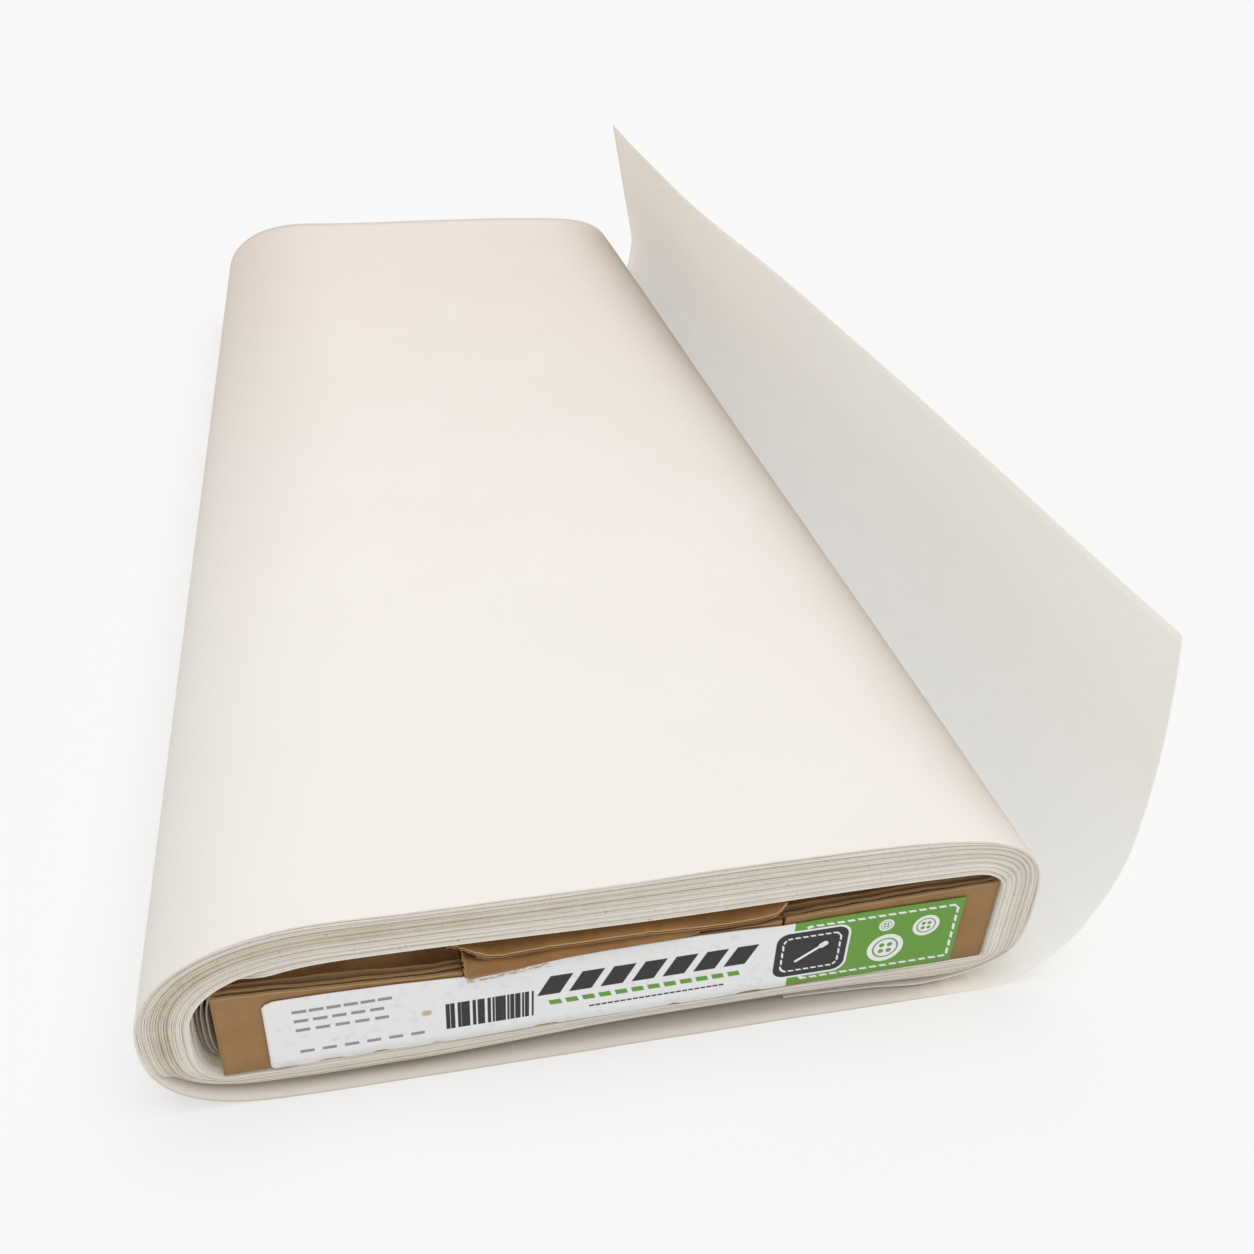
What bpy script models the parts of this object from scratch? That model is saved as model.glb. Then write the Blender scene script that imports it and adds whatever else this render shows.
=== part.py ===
"""Roll of sew-in interfacing: nonwoven cloth wound flat on a folded cardboard board.

The roll lies on its wide side. Its last turn runs flat under it and curls up beside it as the
loose end. The board's near end faces -Y and carries a paper label. Units are metres, +Z is up,
and the origin is under the middle of the whole thing, on the surface that it rests on.

Sizes are first given in the roll's own places: X from the roll's left side, Y from the near
edge of the cloth, Z from the surface. The function place() moves them to the origin.
"""
import math

import bmesh
import bpy
from mathutils import Vector

# Cloth
CLOTH_WIDTH = 0.508          # selvedge to selvedge, along Y
SHEET = 0.0010               # thickness of the loose end
CLEARANCE = 0.0003           # between pieces that touch in the real roll

# Board of folded cardboard
BOARD_LEFT = 0.0173
BOARD_WIDTH = 0.1815
BOARD_RIGHT = BOARD_LEFT + BOARD_WIDTH
BOARD_BOTTOM = 0.0092        # at its left end
BOARD_HEIGHT = 0.0257
BOARD_TOP = BOARD_BOTTOM + BOARD_HEIGHT
BOARD_SLOPE = 0.0125         # rise of the board for each metre to the right
PANEL_FRONT = 0.0016         # front of the end panel, behind the cloth's near edge
FOLD_DEPTH = 0.0136          # how far back the near end's folds reach
FAR_END = 0.5055             # outer face of the far panel
PLY = 0.0015                 # thickness of one ply of an end
PLY_STEPS = 6                # steps along each stretch of a ply's top
PLY_WAVELENGTH = 0.047       # of the ripple in a folded ply's top
SHOULDER_DROP = 0.0030       # chamfer along the core's upper edges
SHOULDER_WIDTH = 0.0130

# Notch in the top of the end plies, where the tab passes over them, and the slit at its end
NOTCH_LEFT = 0.0665
NOTCH_RIGHT = 0.1455
NOTCH_DEPTH = 0.0015
SLIT_WIDTH = 0.0009
SLIT_DEPTH = 0.0052

# Lock tab, folded down over the end panel
TAB_PLY = 0.0012             # thickness of the tab and of both flaps
TAB_LEFT = 0.0712
TAB_RIGHT = 0.1240
TAB_PROUD = 0.0005           # how far the tab stands out past the cloth's near edge
TAB_LOW_LEFT = 0.0306        # height of its lower edge at each end
TAB_LOW_RIGHT = 0.0342
TAB_BEND = 0.0020            # radius of its outer bend
TAB_BACK = FOLD_DEPTH - 0.0010
TAB_STEPS = 8
BEND_STEPS = 4

# Two flaps that lie on the tab: the liner, and the tongue of the top flap
FLAP_LEFT = 0.0700
FLAP_RIGHT = 0.1440
FLAP_BACK = FAR_END - 0.0040
LINER_FRONT = 0.0003
LINER_LEFT = 0.0730
LINER_RIGHT = 0.1425
TONGUE_CURL = 0.0022         # how far the tongue's right end turns up
TONGUE_CURL_FROM = 0.75      # where along the tongue that starts, as a share of its width
TONGUE_LIFT = 0.0007         # how far its torn left end turns up
TONGUE_LIFT_TO = 0.125
TONGUE_BEND = 0.0100         # how far back both of them die out

# Heights above the end plies' top: of the tab, the liner and the top flap
TAB_RISE = CLEARANCE - NOTCH_DEPTH
LINER_RISE = TAB_RISE + TAB_PLY + CLEARANCE
FLAP_RISE = LINER_RISE + TAB_PLY + CLEARANCE

# Label
LABEL_LEFT = 0.0266
LABEL_WIDTH = 0.1645
LABEL_BOTTOM = 0.0095        # at its left end
LABEL_HEIGHT = 0.0220
LABEL_SLOPE = 0.0160
LABEL_THICKNESS = 0.0003

# Setback of the turns' near edges behind the last turn's edge, most of all low in the middle
END_SETBACK = 0.0005
LOW_SETBACK = 0.0035
MIDDLE_SETBACK = 0.0020
SETBACK_HEIGHT = 0.0130
TURN_STEP = 0.0006           # how far every second band of turns stands back
BANDS = 6                    # bands of turns that show on each end

# Outlines of the wound cloth across its width: its sides, and the quarter of a superellipse
# at each corner. The first of each pair is the turn beside the board, the second the outermost.
SIDES = {
    "left": (0.0123, 0.0013),
    "right": (0.2001, 0.2102),
    "bottom_left": (0.0088, 0.0013),
    "bottom_right": (0.0111, 0.0013),
    "top": (0.0436, 0.0544),
}
CORNER_COLUMNS = ("radius_x", "radius_z", "power")
CORNERS = {
    "low_left": ((0.0048, 0.0120, 2.50), (0.0287, 0.0232, 2.45)),
    "low_right": ((0.0030, 0.0040, 4.00), (0.0300, 0.0262, 1.80)),
    "top_right": ((0.0180, 0.0165, 4.00), (0.0450, 0.0265, 2.80)),
    "top_left": ((0.0320, 0.0216, 2.60), (0.0450, 0.0279, 2.25)),
}
CORNER_STEPS = 10
BOTTOM_STEPS = 8
TOP_STEPS = 10
SIDE_STEPS = 2
LENGTH_STEPS = 4

# Waves across the roll's top, of the innermost and the outermost turn
WAVE_COLUMNS = ("height", "crest", "wavelength")
INNER_WAVE = (0.0008, 0.055, 0.108)
OUTER_WAVE = (0.0006, 0.145, 0.160)
WAVE_FROM = 0.6              # share of the turn's height where the waves begin
LENGTH_WAVE = 0.0004         # rise and fall along the roll
LENGTH_WAVES = 1.5
LENGTH_WAVE_FROM = 0.045

# Loose end: one row for each place along the cloth's width. It leaves the surface at lift_off,
# is furthest out at reach, and leans back to its top edge, the more curved the larger bow is.
LOOSE_REACH = 0.2317
LOOSE_COLUMNS = ("along", "lift_off", "reach", "reach_height", "top_x", "top_height", "bow")
LOOSE_ROWS = (
    (0.000, 0.2025, LOOSE_REACH, 0.0450, 0.2248, 0.1072, 1.9),
    (0.100, 0.2020, 0.2304, 0.0448, 0.2240, 0.1070, 1.8),
    (0.160, 0.2012, 0.2290, 0.0445, 0.2220, 0.1068, 1.7),
    (0.262, 0.2000, 0.2265, 0.0440, 0.2145, 0.1062, 1.3),
    (0.318, 0.1992, 0.2255, 0.0438, 0.2122, 0.1058, 1.2),
    (0.392, 0.1985, 0.2245, 0.0435, 0.2128, 0.1051, 1.1),
    (0.472, 0.1978, 0.2238, 0.0432, 0.2114, 0.1042, 1.0),
    (CLOTH_WIDTH, 0.1975, 0.2233, 0.0430, 0.2089, 0.1037, 1.0),
)
LOOSE_CORNER = (0.0300, 0.0245, 2.45)  # radius_x, radius_z and power beside the roll's left side
CORNER_TURN_STEPS = 9
FLOOR_STEPS = 3
CURL_STEPS = 11
RISE_STEPS = 6
STATION_STEPS = 12

SMOOTH_ANGLE = math.radians(40)

# Middle of the whole thing, in the roll's own places
MIDDLE_X = LOOSE_REACH / 2
MIDDLE_Y = (CLOTH_WIDTH - TAB_PROUD) / 2


def clear_objects():
    for item in list(bpy.data.objects):
        bpy.data.objects.remove(item, do_unlink=True)


def place(x, y, z):
    """A point in the roll's own places, moved to the part's frame."""
    return Vector((x - MIDDLE_X, y - MIDDLE_Y, z))


def mix(low, high, share):
    return low + (high - low) * share


def even_steps(start, end, steps):
    """Numbers from start to end, both included."""
    return [mix(start, end, step / steps) for step in range(steps + 1)]


def finish(name, red, green, blue, roughness):
    """A material of one colour and roughness."""
    material = bpy.data.materials.new(name)
    material.use_nodes = True
    shader = material.node_tree.nodes["Principled BSDF"]
    shader.inputs["Base Color"].default_value = (red, green, blue, 1.0)
    shader.inputs["Roughness"].default_value = roughness
    shader.inputs["Metallic"].default_value = 0.0
    return material


def add_object(name, form, material):
    """Turns a finished bmesh into an object of the scene."""
    mesh = bpy.data.meshes.new(name)
    form.to_mesh(mesh)
    form.free()
    mesh.materials.append(material)
    item = bpy.data.objects.new(name, mesh)
    bpy.context.scene.collection.objects.link(item)
    return item


def add_sheet(name, sections, thickness, material):
    """A sheet through rows of points, thickened on the side away from where its faces point."""
    form = bmesh.new()
    rows = [[form.verts.new(point) for point in section] for section in sections]
    for row, following in zip(rows, rows[1:]):
        for corners in zip(row, row[1:], following[1:], following):
            form.faces.new(corners)
    item = add_object(name, form, material)
    wall = item.modifiers.new("thickness", "SOLIDIFY")
    wall.thickness = thickness
    wall.offset = -1.0
    wall.use_even_offset = True
    item.data.shade_smooth()
    item.data.set_sharp_from_angle(angle=SMOOTH_ANGLE)
    return item


def add_prism(name, outline, front, back, material):
    """A flat piece: an outline across X and Z, carried from front to back along Y."""
    form = bmesh.new()
    face = form.faces.new([form.verts.new(place(x, front, z)) for x, z in outline])
    carried = bmesh.ops.extrude_face_region(form, geom=[face])
    verts = [item for item in carried["geom"] if isinstance(item, bmesh.types.BMVert)]
    bmesh.ops.translate(form, verts=verts, vec=(0.0, back - front, 0.0))
    bmesh.ops.recalc_face_normals(form, faces=form.faces)
    return add_object(name, form, material)


def corner_points(centre_x, centre_z, corner, start):
    """A quarter turn of a superellipse, counterclockwise from the angle start."""
    points = []
    for angle in even_steps(start, start + math.pi / 2, CORNER_STEPS):
        cosine, sine = math.cos(angle), math.sin(angle)
        reach_x = math.copysign(abs(cosine) ** (2 / corner["power"]), cosine)
        reach_z = math.copysign(abs(sine) ** (2 / corner["power"]), sine)
        points.append((centre_x + corner["radius_x"] * reach_x,
                       centre_z + corner["radius_z"] * reach_z))
    return points


def points_between(start, end, steps):
    """Points on the straight stretch between two corners, without its ends."""
    return [(mix(start[0], end[0], step / steps), mix(start[1], end[1], step / steps))
            for step in range(1, steps)]


def wave_at(x, wave):
    sizes = dict(zip(WAVE_COLUMNS, wave))
    return sizes["height"] * math.cos(2 * math.pi * (x - sizes["crest"]) / sizes["wavelength"])


def top_wave(x, z, share, top):
    """Rise of a turn at one of its points: none low down, all of it along the top."""
    height = (z - WAVE_FROM * top) / (top - WAVE_FROM * top)
    return max(height, 0.0) * mix(wave_at(x, INNER_WAVE), wave_at(x, OUTER_WAVE), share)


def turn_outline(share):
    """Outline of one turn. Its share is 0 beside the board and 1 at the outside."""
    side = {name: mix(inner, outer, share) for name, (inner, outer) in SIDES.items()}
    corner = {}
    for name, (inner, outer) in CORNERS.items():
        sizes = [mix(a, b, share) for a, b in zip(inner, outer)]
        corner[name] = dict(zip(CORNER_COLUMNS, sizes))
    low_left = corner_points(side["left"] + corner["low_left"]["radius_x"],
                             side["bottom_left"] + corner["low_left"]["radius_z"],
                             corner["low_left"], math.pi)
    low_right = corner_points(side["right"] - corner["low_right"]["radius_x"],
                              side["bottom_right"] + corner["low_right"]["radius_z"],
                              corner["low_right"], 1.5 * math.pi)
    top_right = corner_points(side["right"] - corner["top_right"]["radius_x"],
                              side["top"] - corner["top_right"]["radius_z"],
                              corner["top_right"], 0.0)
    top_left = corner_points(side["left"] + corner["top_left"]["radius_x"],
                             side["top"] - corner["top_left"]["radius_z"],
                             corner["top_left"], 0.5 * math.pi)
    outline = low_left + points_between(low_left[-1], low_right[0], BOTTOM_STEPS)
    outline += low_right + points_between(low_right[-1], top_right[0], SIDE_STEPS)
    outline += top_right + points_between(top_right[-1], top_left[0], TOP_STEPS)
    outline += top_left + points_between(top_left[-1], low_left[0], SIDE_STEPS)
    return [(x, z + top_wave(x, z, share, side["top"])) for x, z in outline]


def near_setback(x, z):
    """How far the turns' near edges lie behind the last turn's edge."""
    low = max((SETBACK_HEIGHT - z) / SETBACK_HEIGHT, 0.0)
    across = math.sin(math.pi * x / SIDES["right"][1])
    return END_SETBACK + low * (LOW_SETBACK + MIDDLE_SETBACK * across)


def outer_loop(share_along):
    """The outermost turn's outline at one place between the near end and the far end."""
    wave = LENGTH_WAVE * math.sin(2 * math.pi * LENGTH_WAVES * share_along)
    loop = []
    for x, z in turn_outline(1.0):
        y = mix(near_setback(x, z), CLOTH_WIDTH - END_SETBACK, share_along)
        lift = wave if z > LENGTH_WAVE_FROM else 0.0
        loop.append(place(x, y, z + lift))
    return loop


def wound_loops():
    """Closed outlines from the near end along the outside, over the far end and back inside."""
    far = CLOTH_WIDTH - END_SETBACK
    loops = [outer_loop(share_along) for share_along in even_steps(0.0, 1.0, LENGTH_STEPS)]
    for band in range(1, BANDS + 1):
        back = TURN_STEP * (band % 2)
        loops.append([place(x, far - back, z) for x, z in turn_outline(1 - band / BANDS)])
    for band in range(BANDS):
        back = TURN_STEP * (band % 2)
        loops.append([place(x, near_setback(x, z) + back, z)
                      for x, z in turn_outline(band / BANDS)])
    return loops


def make_wound_cloth(material):
    """All the turns as one body, hollow along the board."""
    form = bmesh.new()
    rings = []
    for loop in wound_loops():
        verts = [form.verts.new(point) for point in loop]
        rings.append([form.edges.new(ends) for ends in zip(verts, verts[1:] + verts[:1])])
    for ring, following in zip(rings, rings[1:] + rings[:1]):
        bmesh.ops.bridge_loops(form, edges=ring + following)
    bmesh.ops.recalc_face_normals(form, faces=form.faces)
    item = add_object("wound_cloth", form, material)
    item.data.shade_smooth()
    item.data.set_sharp_from_angle(angle=SMOOTH_ANGLE)


def loose_row(along):
    """The loose end's sizes at one place, eased from one row of the table to the next."""
    for row, following in zip(LOOSE_ROWS, LOOSE_ROWS[1:]):
        if along <= following[0]:
            break
    share = (along - row[0]) / (following[0] - row[0])
    eased = share * share * (3 - 2 * share)
    return dict(zip(LOOSE_COLUMNS, [mix(a, b, eased) for a, b in zip(row, following)]))


def loose_section(along):
    """The last turn: down the roll's left side, under the roll, and up beside it."""
    row = loose_row(along)
    radius_x, radius_z, power = LOOSE_CORNER
    points = []
    for angle in even_steps(0.0, math.pi / 2, CORNER_TURN_STEPS):
        points.append((radius_x * (1 - math.cos(angle) ** (2 / power)),
                       radius_z * (1 - math.sin(angle) ** (2 / power))))
    for x in even_steps(radius_x, row["lift_off"], FLOOR_STEPS)[1:]:
        points.append((x, 0.0))
    for angle in even_steps(0.0, math.pi / 2, CURL_STEPS)[1:]:
        points.append((mix(row["lift_off"], row["reach"], math.sin(angle)),
                       row["reach_height"] * (1 - math.cos(angle))))
    for share in even_steps(0.0, 1.0, RISE_STEPS)[1:]:
        points.append((mix(row["reach"], row["top_x"], share ** row["bow"]),
                       mix(row["reach_height"], row["top_height"], share)))
    return points


def make_loose_end(material):
    """Its sections run from the far edge to the near one, so that its faces point out and down."""
    sections = [[place(x, along, z) for x, z in loose_section(along)]
                for along in even_steps(CLOTH_WIDTH, 0.0, STATION_STEPS)]
    add_sheet("loose_end", sections, SHEET, material)


def board_height(x, above_top=0.0):
    """Height of the board's top at x, or of something a given way above it."""
    return BOARD_TOP + BOARD_SLOPE * (x - BOARD_LEFT) + above_top


def ply_outline(top_shift, ripple, phase, slit_depth):
    """An end ply: straight below and at its sides, notched and a little wavy along its top."""
    def top(x):
        wave = ripple * math.sin(phase + 2 * math.pi * (x - BOARD_LEFT) / PLY_WAVELENGTH)
        return (x, board_height(x, top_shift + wave))

    notch_start = NOTCH_RIGHT - SLIT_WIDTH
    outline = [(BOARD_LEFT, BOARD_BOTTOM), (BOARD_RIGHT, board_height(BOARD_RIGHT, -BOARD_HEIGHT))]
    outline += [top(x) for x in even_steps(BOARD_RIGHT, NOTCH_RIGHT, PLY_STEPS)]
    if slit_depth:
        outline += [(x, board_height(x, -slit_depth)) for x in (NOTCH_RIGHT, notch_start)]
    outline += [(x, board_height(x, top_shift - NOTCH_DEPTH))
                for x in even_steps(notch_start, NOTCH_LEFT, PLY_STEPS)]
    outline += [top(x) for x in even_steps(NOTCH_LEFT, BOARD_LEFT, PLY_STEPS)]
    return outline


def make_end_plies(material):
    """The end panel that carries the label, and the plies folded in behind it."""
    middle = PANEL_FRONT + PLY + CLEARANCE
    inner = middle + PLY + CLEARANCE
    add_prism("end_panel", ply_outline(0.0, 0.0, 0.0, SLIT_DEPTH),
              PANEL_FRONT, PANEL_FRONT + PLY, material)
    add_prism("end_ply_middle", ply_outline(-0.0002, 0.0003, 0.4, 0.0),
              middle, middle + PLY, material)
    add_prism("end_ply_inner", ply_outline(-0.0006, 0.0004, 1.9, 0.0),
              inner, FOLD_DEPTH, material)


def make_board_core(material):
    """The long folded part of the board, chamfered along its upper edges."""
    top = FLAP_RISE - CLEARANCE
    outline = [
        (BOARD_LEFT, BOARD_BOTTOM),
        (BOARD_RIGHT, board_height(BOARD_RIGHT, -BOARD_HEIGHT)),
        (BOARD_RIGHT, board_height(BOARD_RIGHT, top - SHOULDER_DROP)),
        (BOARD_RIGHT - SHOULDER_WIDTH, board_height(BOARD_RIGHT - SHOULDER_WIDTH, top)),
        (BOARD_LEFT + SHOULDER_WIDTH, board_height(BOARD_LEFT + SHOULDER_WIDTH, top)),
        (BOARD_LEFT, board_height(BOARD_LEFT, top - SHOULDER_DROP)),
    ]
    add_prism("board_core", outline, FOLD_DEPTH + CLEARANCE, FAR_END - PLY - CLEARANCE, material)


def make_far_panel(material):
    outline = [(BOARD_LEFT, BOARD_BOTTOM),
               (BOARD_RIGHT, board_height(BOARD_RIGHT, -BOARD_HEIGHT)),
               (BOARD_RIGHT, board_height(BOARD_RIGHT)),
               (BOARD_LEFT, board_height(BOARD_LEFT))]
    add_prism("far_panel", outline, FAR_END - PLY, FAR_END, material)


def make_lock_tab(material):
    """A strip that lies in the plies' notch and is folded down in front of the end panel."""
    sections = []
    for share in even_steps(0.0, 1.0, TAB_STEPS):
        x = mix(TAB_LEFT, TAB_RIGHT, share)
        top = board_height(x, TAB_RISE + TAB_PLY)
        section = [place(x, TAB_BACK, top)]
        for angle in even_steps(0.0, math.pi / 2, BEND_STEPS):
            section.append(place(x, TAB_BEND * (1 - math.sin(angle)) - TAB_PROUD,
                                 top - TAB_BEND * (1 - math.cos(angle))))
        section.append(place(x, -TAB_PROUD, mix(TAB_LOW_LEFT, TAB_LOW_RIGHT, share)))
        sections.append(section)
    add_sheet("lock_tab", sections, TAB_PLY, material)


def make_flap_liner(material):
    sections = []
    for x in even_steps(LINER_LEFT, LINER_RIGHT, TAB_STEPS):
        top = board_height(x, LINER_RISE + TAB_PLY)
        sections.append([place(x, TAB_BACK, top), place(x, LINER_FRONT, top)])
    add_sheet("flap_liner", sections, TAB_PLY, material)


def make_top_flap(material):
    """Lies along the core's top. Its near end is the tongue, turned up a little at both sides."""
    sections = []
    for share in even_steps(0.0, 1.0, TAB_STEPS):
        x = mix(FLAP_LEFT, FLAP_RIGHT, share)
        curl = TONGUE_CURL * max((share - TONGUE_CURL_FROM) / (1 - TONGUE_CURL_FROM), 0.0) ** 2
        lift = TONGUE_LIFT * max(1 - share / TONGUE_LIFT_TO, 0.0)
        top = board_height(x, FLAP_RISE + TAB_PLY)
        sections.append([place(x, FLAP_BACK, top), place(x, FOLD_DEPTH, top),
                         place(x, TONGUE_BEND, top + (curl + lift) / 2),
                         place(x, 0.0, top + curl + lift)])
    add_sheet("top_flap", sections, TAB_PLY, material)


def make_label(material):
    """Paper label on the end panel, with its lower edge along the board's."""
    right = LABEL_LEFT + LABEL_WIDTH
    right_bottom = LABEL_BOTTOM + LABEL_SLOPE * LABEL_WIDTH
    outline = [(LABEL_LEFT, LABEL_BOTTOM),
               (right, right_bottom),
               (right, right_bottom + LABEL_HEIGHT),
               (LABEL_LEFT, LABEL_BOTTOM + LABEL_HEIGHT)]
    back = PANEL_FRONT - CLEARANCE
    add_prism("label", outline, back - LABEL_THICKNESS, back, material)


def main():
    clear_objects()
    cloth = finish("wound_interfacing", 0.84, 0.80, 0.75, 0.9)
    sheet = finish("loose_interfacing", 0.84, 0.81, 0.76, 0.9)
    board = finish("board_cardboard", 0.32, 0.18, 0.08, 0.85)
    panel = finish("end_cardboard", 0.36, 0.21, 0.10, 0.85)
    flap = finish("flap_cardboard", 0.40, 0.23, 0.10, 0.85)
    paper = finish("label_paper", 0.78, 0.78, 0.76, 0.6)
    make_wound_cloth(cloth)
    make_loose_end(sheet)
    make_board_core(board)
    make_far_panel(board)
    make_end_plies(panel)
    make_lock_tab(flap)
    make_flap_liner(flap)
    make_top_flap(flap)
    make_label(paper)


main()
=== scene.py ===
import math

import bmesh
import bpy
import numpy as np
from mathutils import Matrix, Vector


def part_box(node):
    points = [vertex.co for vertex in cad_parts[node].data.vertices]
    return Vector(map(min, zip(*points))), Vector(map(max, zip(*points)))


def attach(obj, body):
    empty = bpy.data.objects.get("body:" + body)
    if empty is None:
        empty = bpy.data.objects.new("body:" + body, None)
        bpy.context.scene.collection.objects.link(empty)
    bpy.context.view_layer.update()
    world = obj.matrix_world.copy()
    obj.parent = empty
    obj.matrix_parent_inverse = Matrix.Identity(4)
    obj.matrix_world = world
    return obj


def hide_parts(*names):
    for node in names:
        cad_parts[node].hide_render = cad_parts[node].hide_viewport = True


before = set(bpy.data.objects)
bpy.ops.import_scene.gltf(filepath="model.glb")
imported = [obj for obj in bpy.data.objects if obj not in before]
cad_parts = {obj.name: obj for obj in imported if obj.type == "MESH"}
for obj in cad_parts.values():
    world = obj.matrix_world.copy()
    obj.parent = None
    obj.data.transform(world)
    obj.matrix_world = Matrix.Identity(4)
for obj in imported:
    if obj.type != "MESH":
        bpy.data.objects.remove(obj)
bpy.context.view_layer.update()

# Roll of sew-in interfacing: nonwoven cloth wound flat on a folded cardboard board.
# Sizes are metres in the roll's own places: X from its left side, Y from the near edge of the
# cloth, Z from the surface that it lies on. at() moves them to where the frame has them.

LEFT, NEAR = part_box("loose_end")[0][:2]
MM = 0.001

# Cloth
CLOTH_WIDTH = 0.508
LAST_THICKNESS = 0.45 * MM
TURNS = 30
TURN_THICKNESS = 0.40 * MM       # at most, where the turns have room
TURN_FULLNESS = 0.985            # share of its room that a turn fills
BUNCHING = 0.17                  # how far the turns bunch together, in turns
BUNCH_TURNS = 4.3                # turns in a bunch
BAND_TURNS = 4.1                 # turns in a band that stands out on the ends
BAND_DEPTH = 0.00060
LONG_BAND_TURNS = 7.1
LONG_BAND_DEPTH = 0.00015
OUTERMOST = 0.955                # share of the last of the wound turns
SEAM = 0.150                     # where the last turn takes over, under the roll
SECTION_MIDDLE = (0.1130, 0.0270)
# Rows along the cloth's width: place from its near edge, share of the wobble, share of the sag
TURN_ROWS = ((1.0, 0.0, 0.0), (0.997, 0.0, 0.0), (0.5, 0.3, 0.0), (0.035, 0.2, 0.0),
             (0.008, 0.2, 0.85), (0.0, 1.0, 1.0))

# Outlines of the turns across the roll: beside the board, and outermost
SIDES = {
    "left": (0.0123, 0.0013),
    "right": (0.2007, 0.2102),
    "bottom_left": (0.0088, 0.0013),
    "bottom_right": (0.0111, 0.0013),
    "top": (0.0419, 0.0544),
}
# Radius across, radius up and power of each rounded corner
CORNERS = {
    "low_left": ((0.0048, 0.0120, 2.50), (0.0287, 0.0232, 2.45)),
    "low_right": ((0.0030, 0.0040, 4.00), (0.0275, 0.0245, 2.50)),
    "top_right": ((0.0130, 0.0095, 4.00), (0.0435, 0.0262, 3.30)),
    "top_left": ((0.0320, 0.0206, 2.60), (0.0450, 0.0279, 2.25)),
}
# Height, crest and wavelength of the waves along the top
INNER_WAVE = (0.0004, 0.055, 0.118)
OUTER_WAVE = (0.0006, 0.145, 0.160)
WAVE_FROM = 0.6
LENGTH_WAVE = 0.0004
LENGTH_WAVES = 1.5
LENGTH_WAVE_FROM = 0.045
# How far the first turns hang loose of the others beside the board's left edge
SLACK = (0.0028, 0.0018, 0.0010, 0.0004)
SLACK_SETBACK = 0.0050           # how far their near edges lie behind the others'
# How far the first turns' near edges sag onto the board's top right corner
CORNER_SAG = 0.0011
CORNER_SAG_PLACE = 0.1995
CORNER_SAG_WIDTH = 0.0040
# How far the outermost of the wound turns stands out towards the last turn
LOOSENED_LEFT = 0.0014
LOOSENED_BELOW = 0.0008

# How far the near edges lie behind the last turn's edge: at the floor across X, and higher up
SETBACK_X = (0.000, 0.012, 0.036, 0.066, 0.106, 0.152, 0.174, 0.185, 0.212)
SETBACK_LOW = (0.0037, 0.0037, 0.0027, 0.0029, 0.0057, 0.0060, 0.0050, 0.0036, 0.0036)
SETBACK_HIGH = 0.0005
SETBACK_HEIGHT = 0.0130
LOWER_SETBACK = 0.0026           # how much further back the outer turns lie under the board
FAR_SETBACK = 0.0009
# How unevenly the edges of the turns lie: over a turn, within it, under the board, at the far end
UNEVEN_TURNS = 0.00004
UNEVEN_EDGE = 0.00003
UNEVEN_BELOW = 0.00010
UNEVEN_FAR = 0.00015
WOBBLE = 0.00002                 # how far a turn's edge wanders off its path

# Loose end: one row for each place along the cloth's width
LOOSE_COLUMNS = ("along", "lift_off", "reach", "reach_height", "top_x", "top_height", "bow")
LOOSE_ROWS = (
    (0.000, 0.2025, 0.2317, 0.0450, 0.2254, 0.1072, 1.9),
    (0.057, 0.2023, 0.2310, 0.0449, 0.2238, 0.1071, 1.9),
    (0.105, 0.2019, 0.2303, 0.0448, 0.2218, 0.1070, 1.8),
    (0.168, 0.2011, 0.2288, 0.0445, 0.2193, 0.1068, 1.7),
    (0.247, 0.2001, 0.2268, 0.0441, 0.2153, 0.1063, 1.4),
    (0.300, 0.1994, 0.2258, 0.0439, 0.2119, 0.1059, 1.2),
    (0.354, 0.1989, 0.2250, 0.0437, 0.2093, 0.1055, 1.2),
    (0.441, 0.1981, 0.2240, 0.0433, 0.2087, 0.1045, 1.1),
    (CLOTH_WIDTH, 0.1975, 0.2233, 0.0430, 0.2098, 0.1037, 1.0),
)
LOOSE_CORNER = (0.0300, 0.0245, 2.45)
SECTION_POINTS = 250             # points along the last turn and the loose end
LENGTH_ROWS = 67                 # even rows along the cloth's width
NEAR_ROWS = (0.0052, 0.0036, 0.0022, 0.0010, 0.0002, 0.0)    # close rows at the near edge
LOOSE_TOP = 0.050                # height where the last turn begins to stand off the others
STANDING_FROM, STANDING_TO = 0.1780, 0.2300    # where across X the last turn comes to stand alone
STANDING_STEPS = 8
STANDING_LENGTH = 0.125          # length of the free end that has its own shallow waves
STANDING_FULL = 0.040            # where along it they are as deep as they get
SWELLS = (0.00009, 0.00005)      # heights of the long and the short swells on the roll's top
WAVES = (0.0004, 0.0002)         # heights of the long and the short waves in the free end
CLOTH_BEFORE = 14.0              # where on the cloth's map the last turn begins

# Board of folded cardboard
BOARD_LEFT = 0.0163
BOARD_RIGHT = 0.1995
BOARD_BOTTOM = 0.0092
BOARD_TOP = 0.0349
BOARD_SLOPE = 0.0125
PANEL_FRONT = 0.0016
FOLD_DEPTH = 0.0136
PLY = 0.0015
PLY_GAP = 0.0003
LINER = 0.00028                  # thickness of the paper on each side of a ply
PLY_SHOWN = 0.0009               # thickness of an end ply, crushed at its top
RAW_DEPTH = 0.00006              # how deep the fluted middle lies behind a raw edge
FLAP_RAW_DEPTH = 0.0006
FLUTE_PITCH = 0.0031
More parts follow.
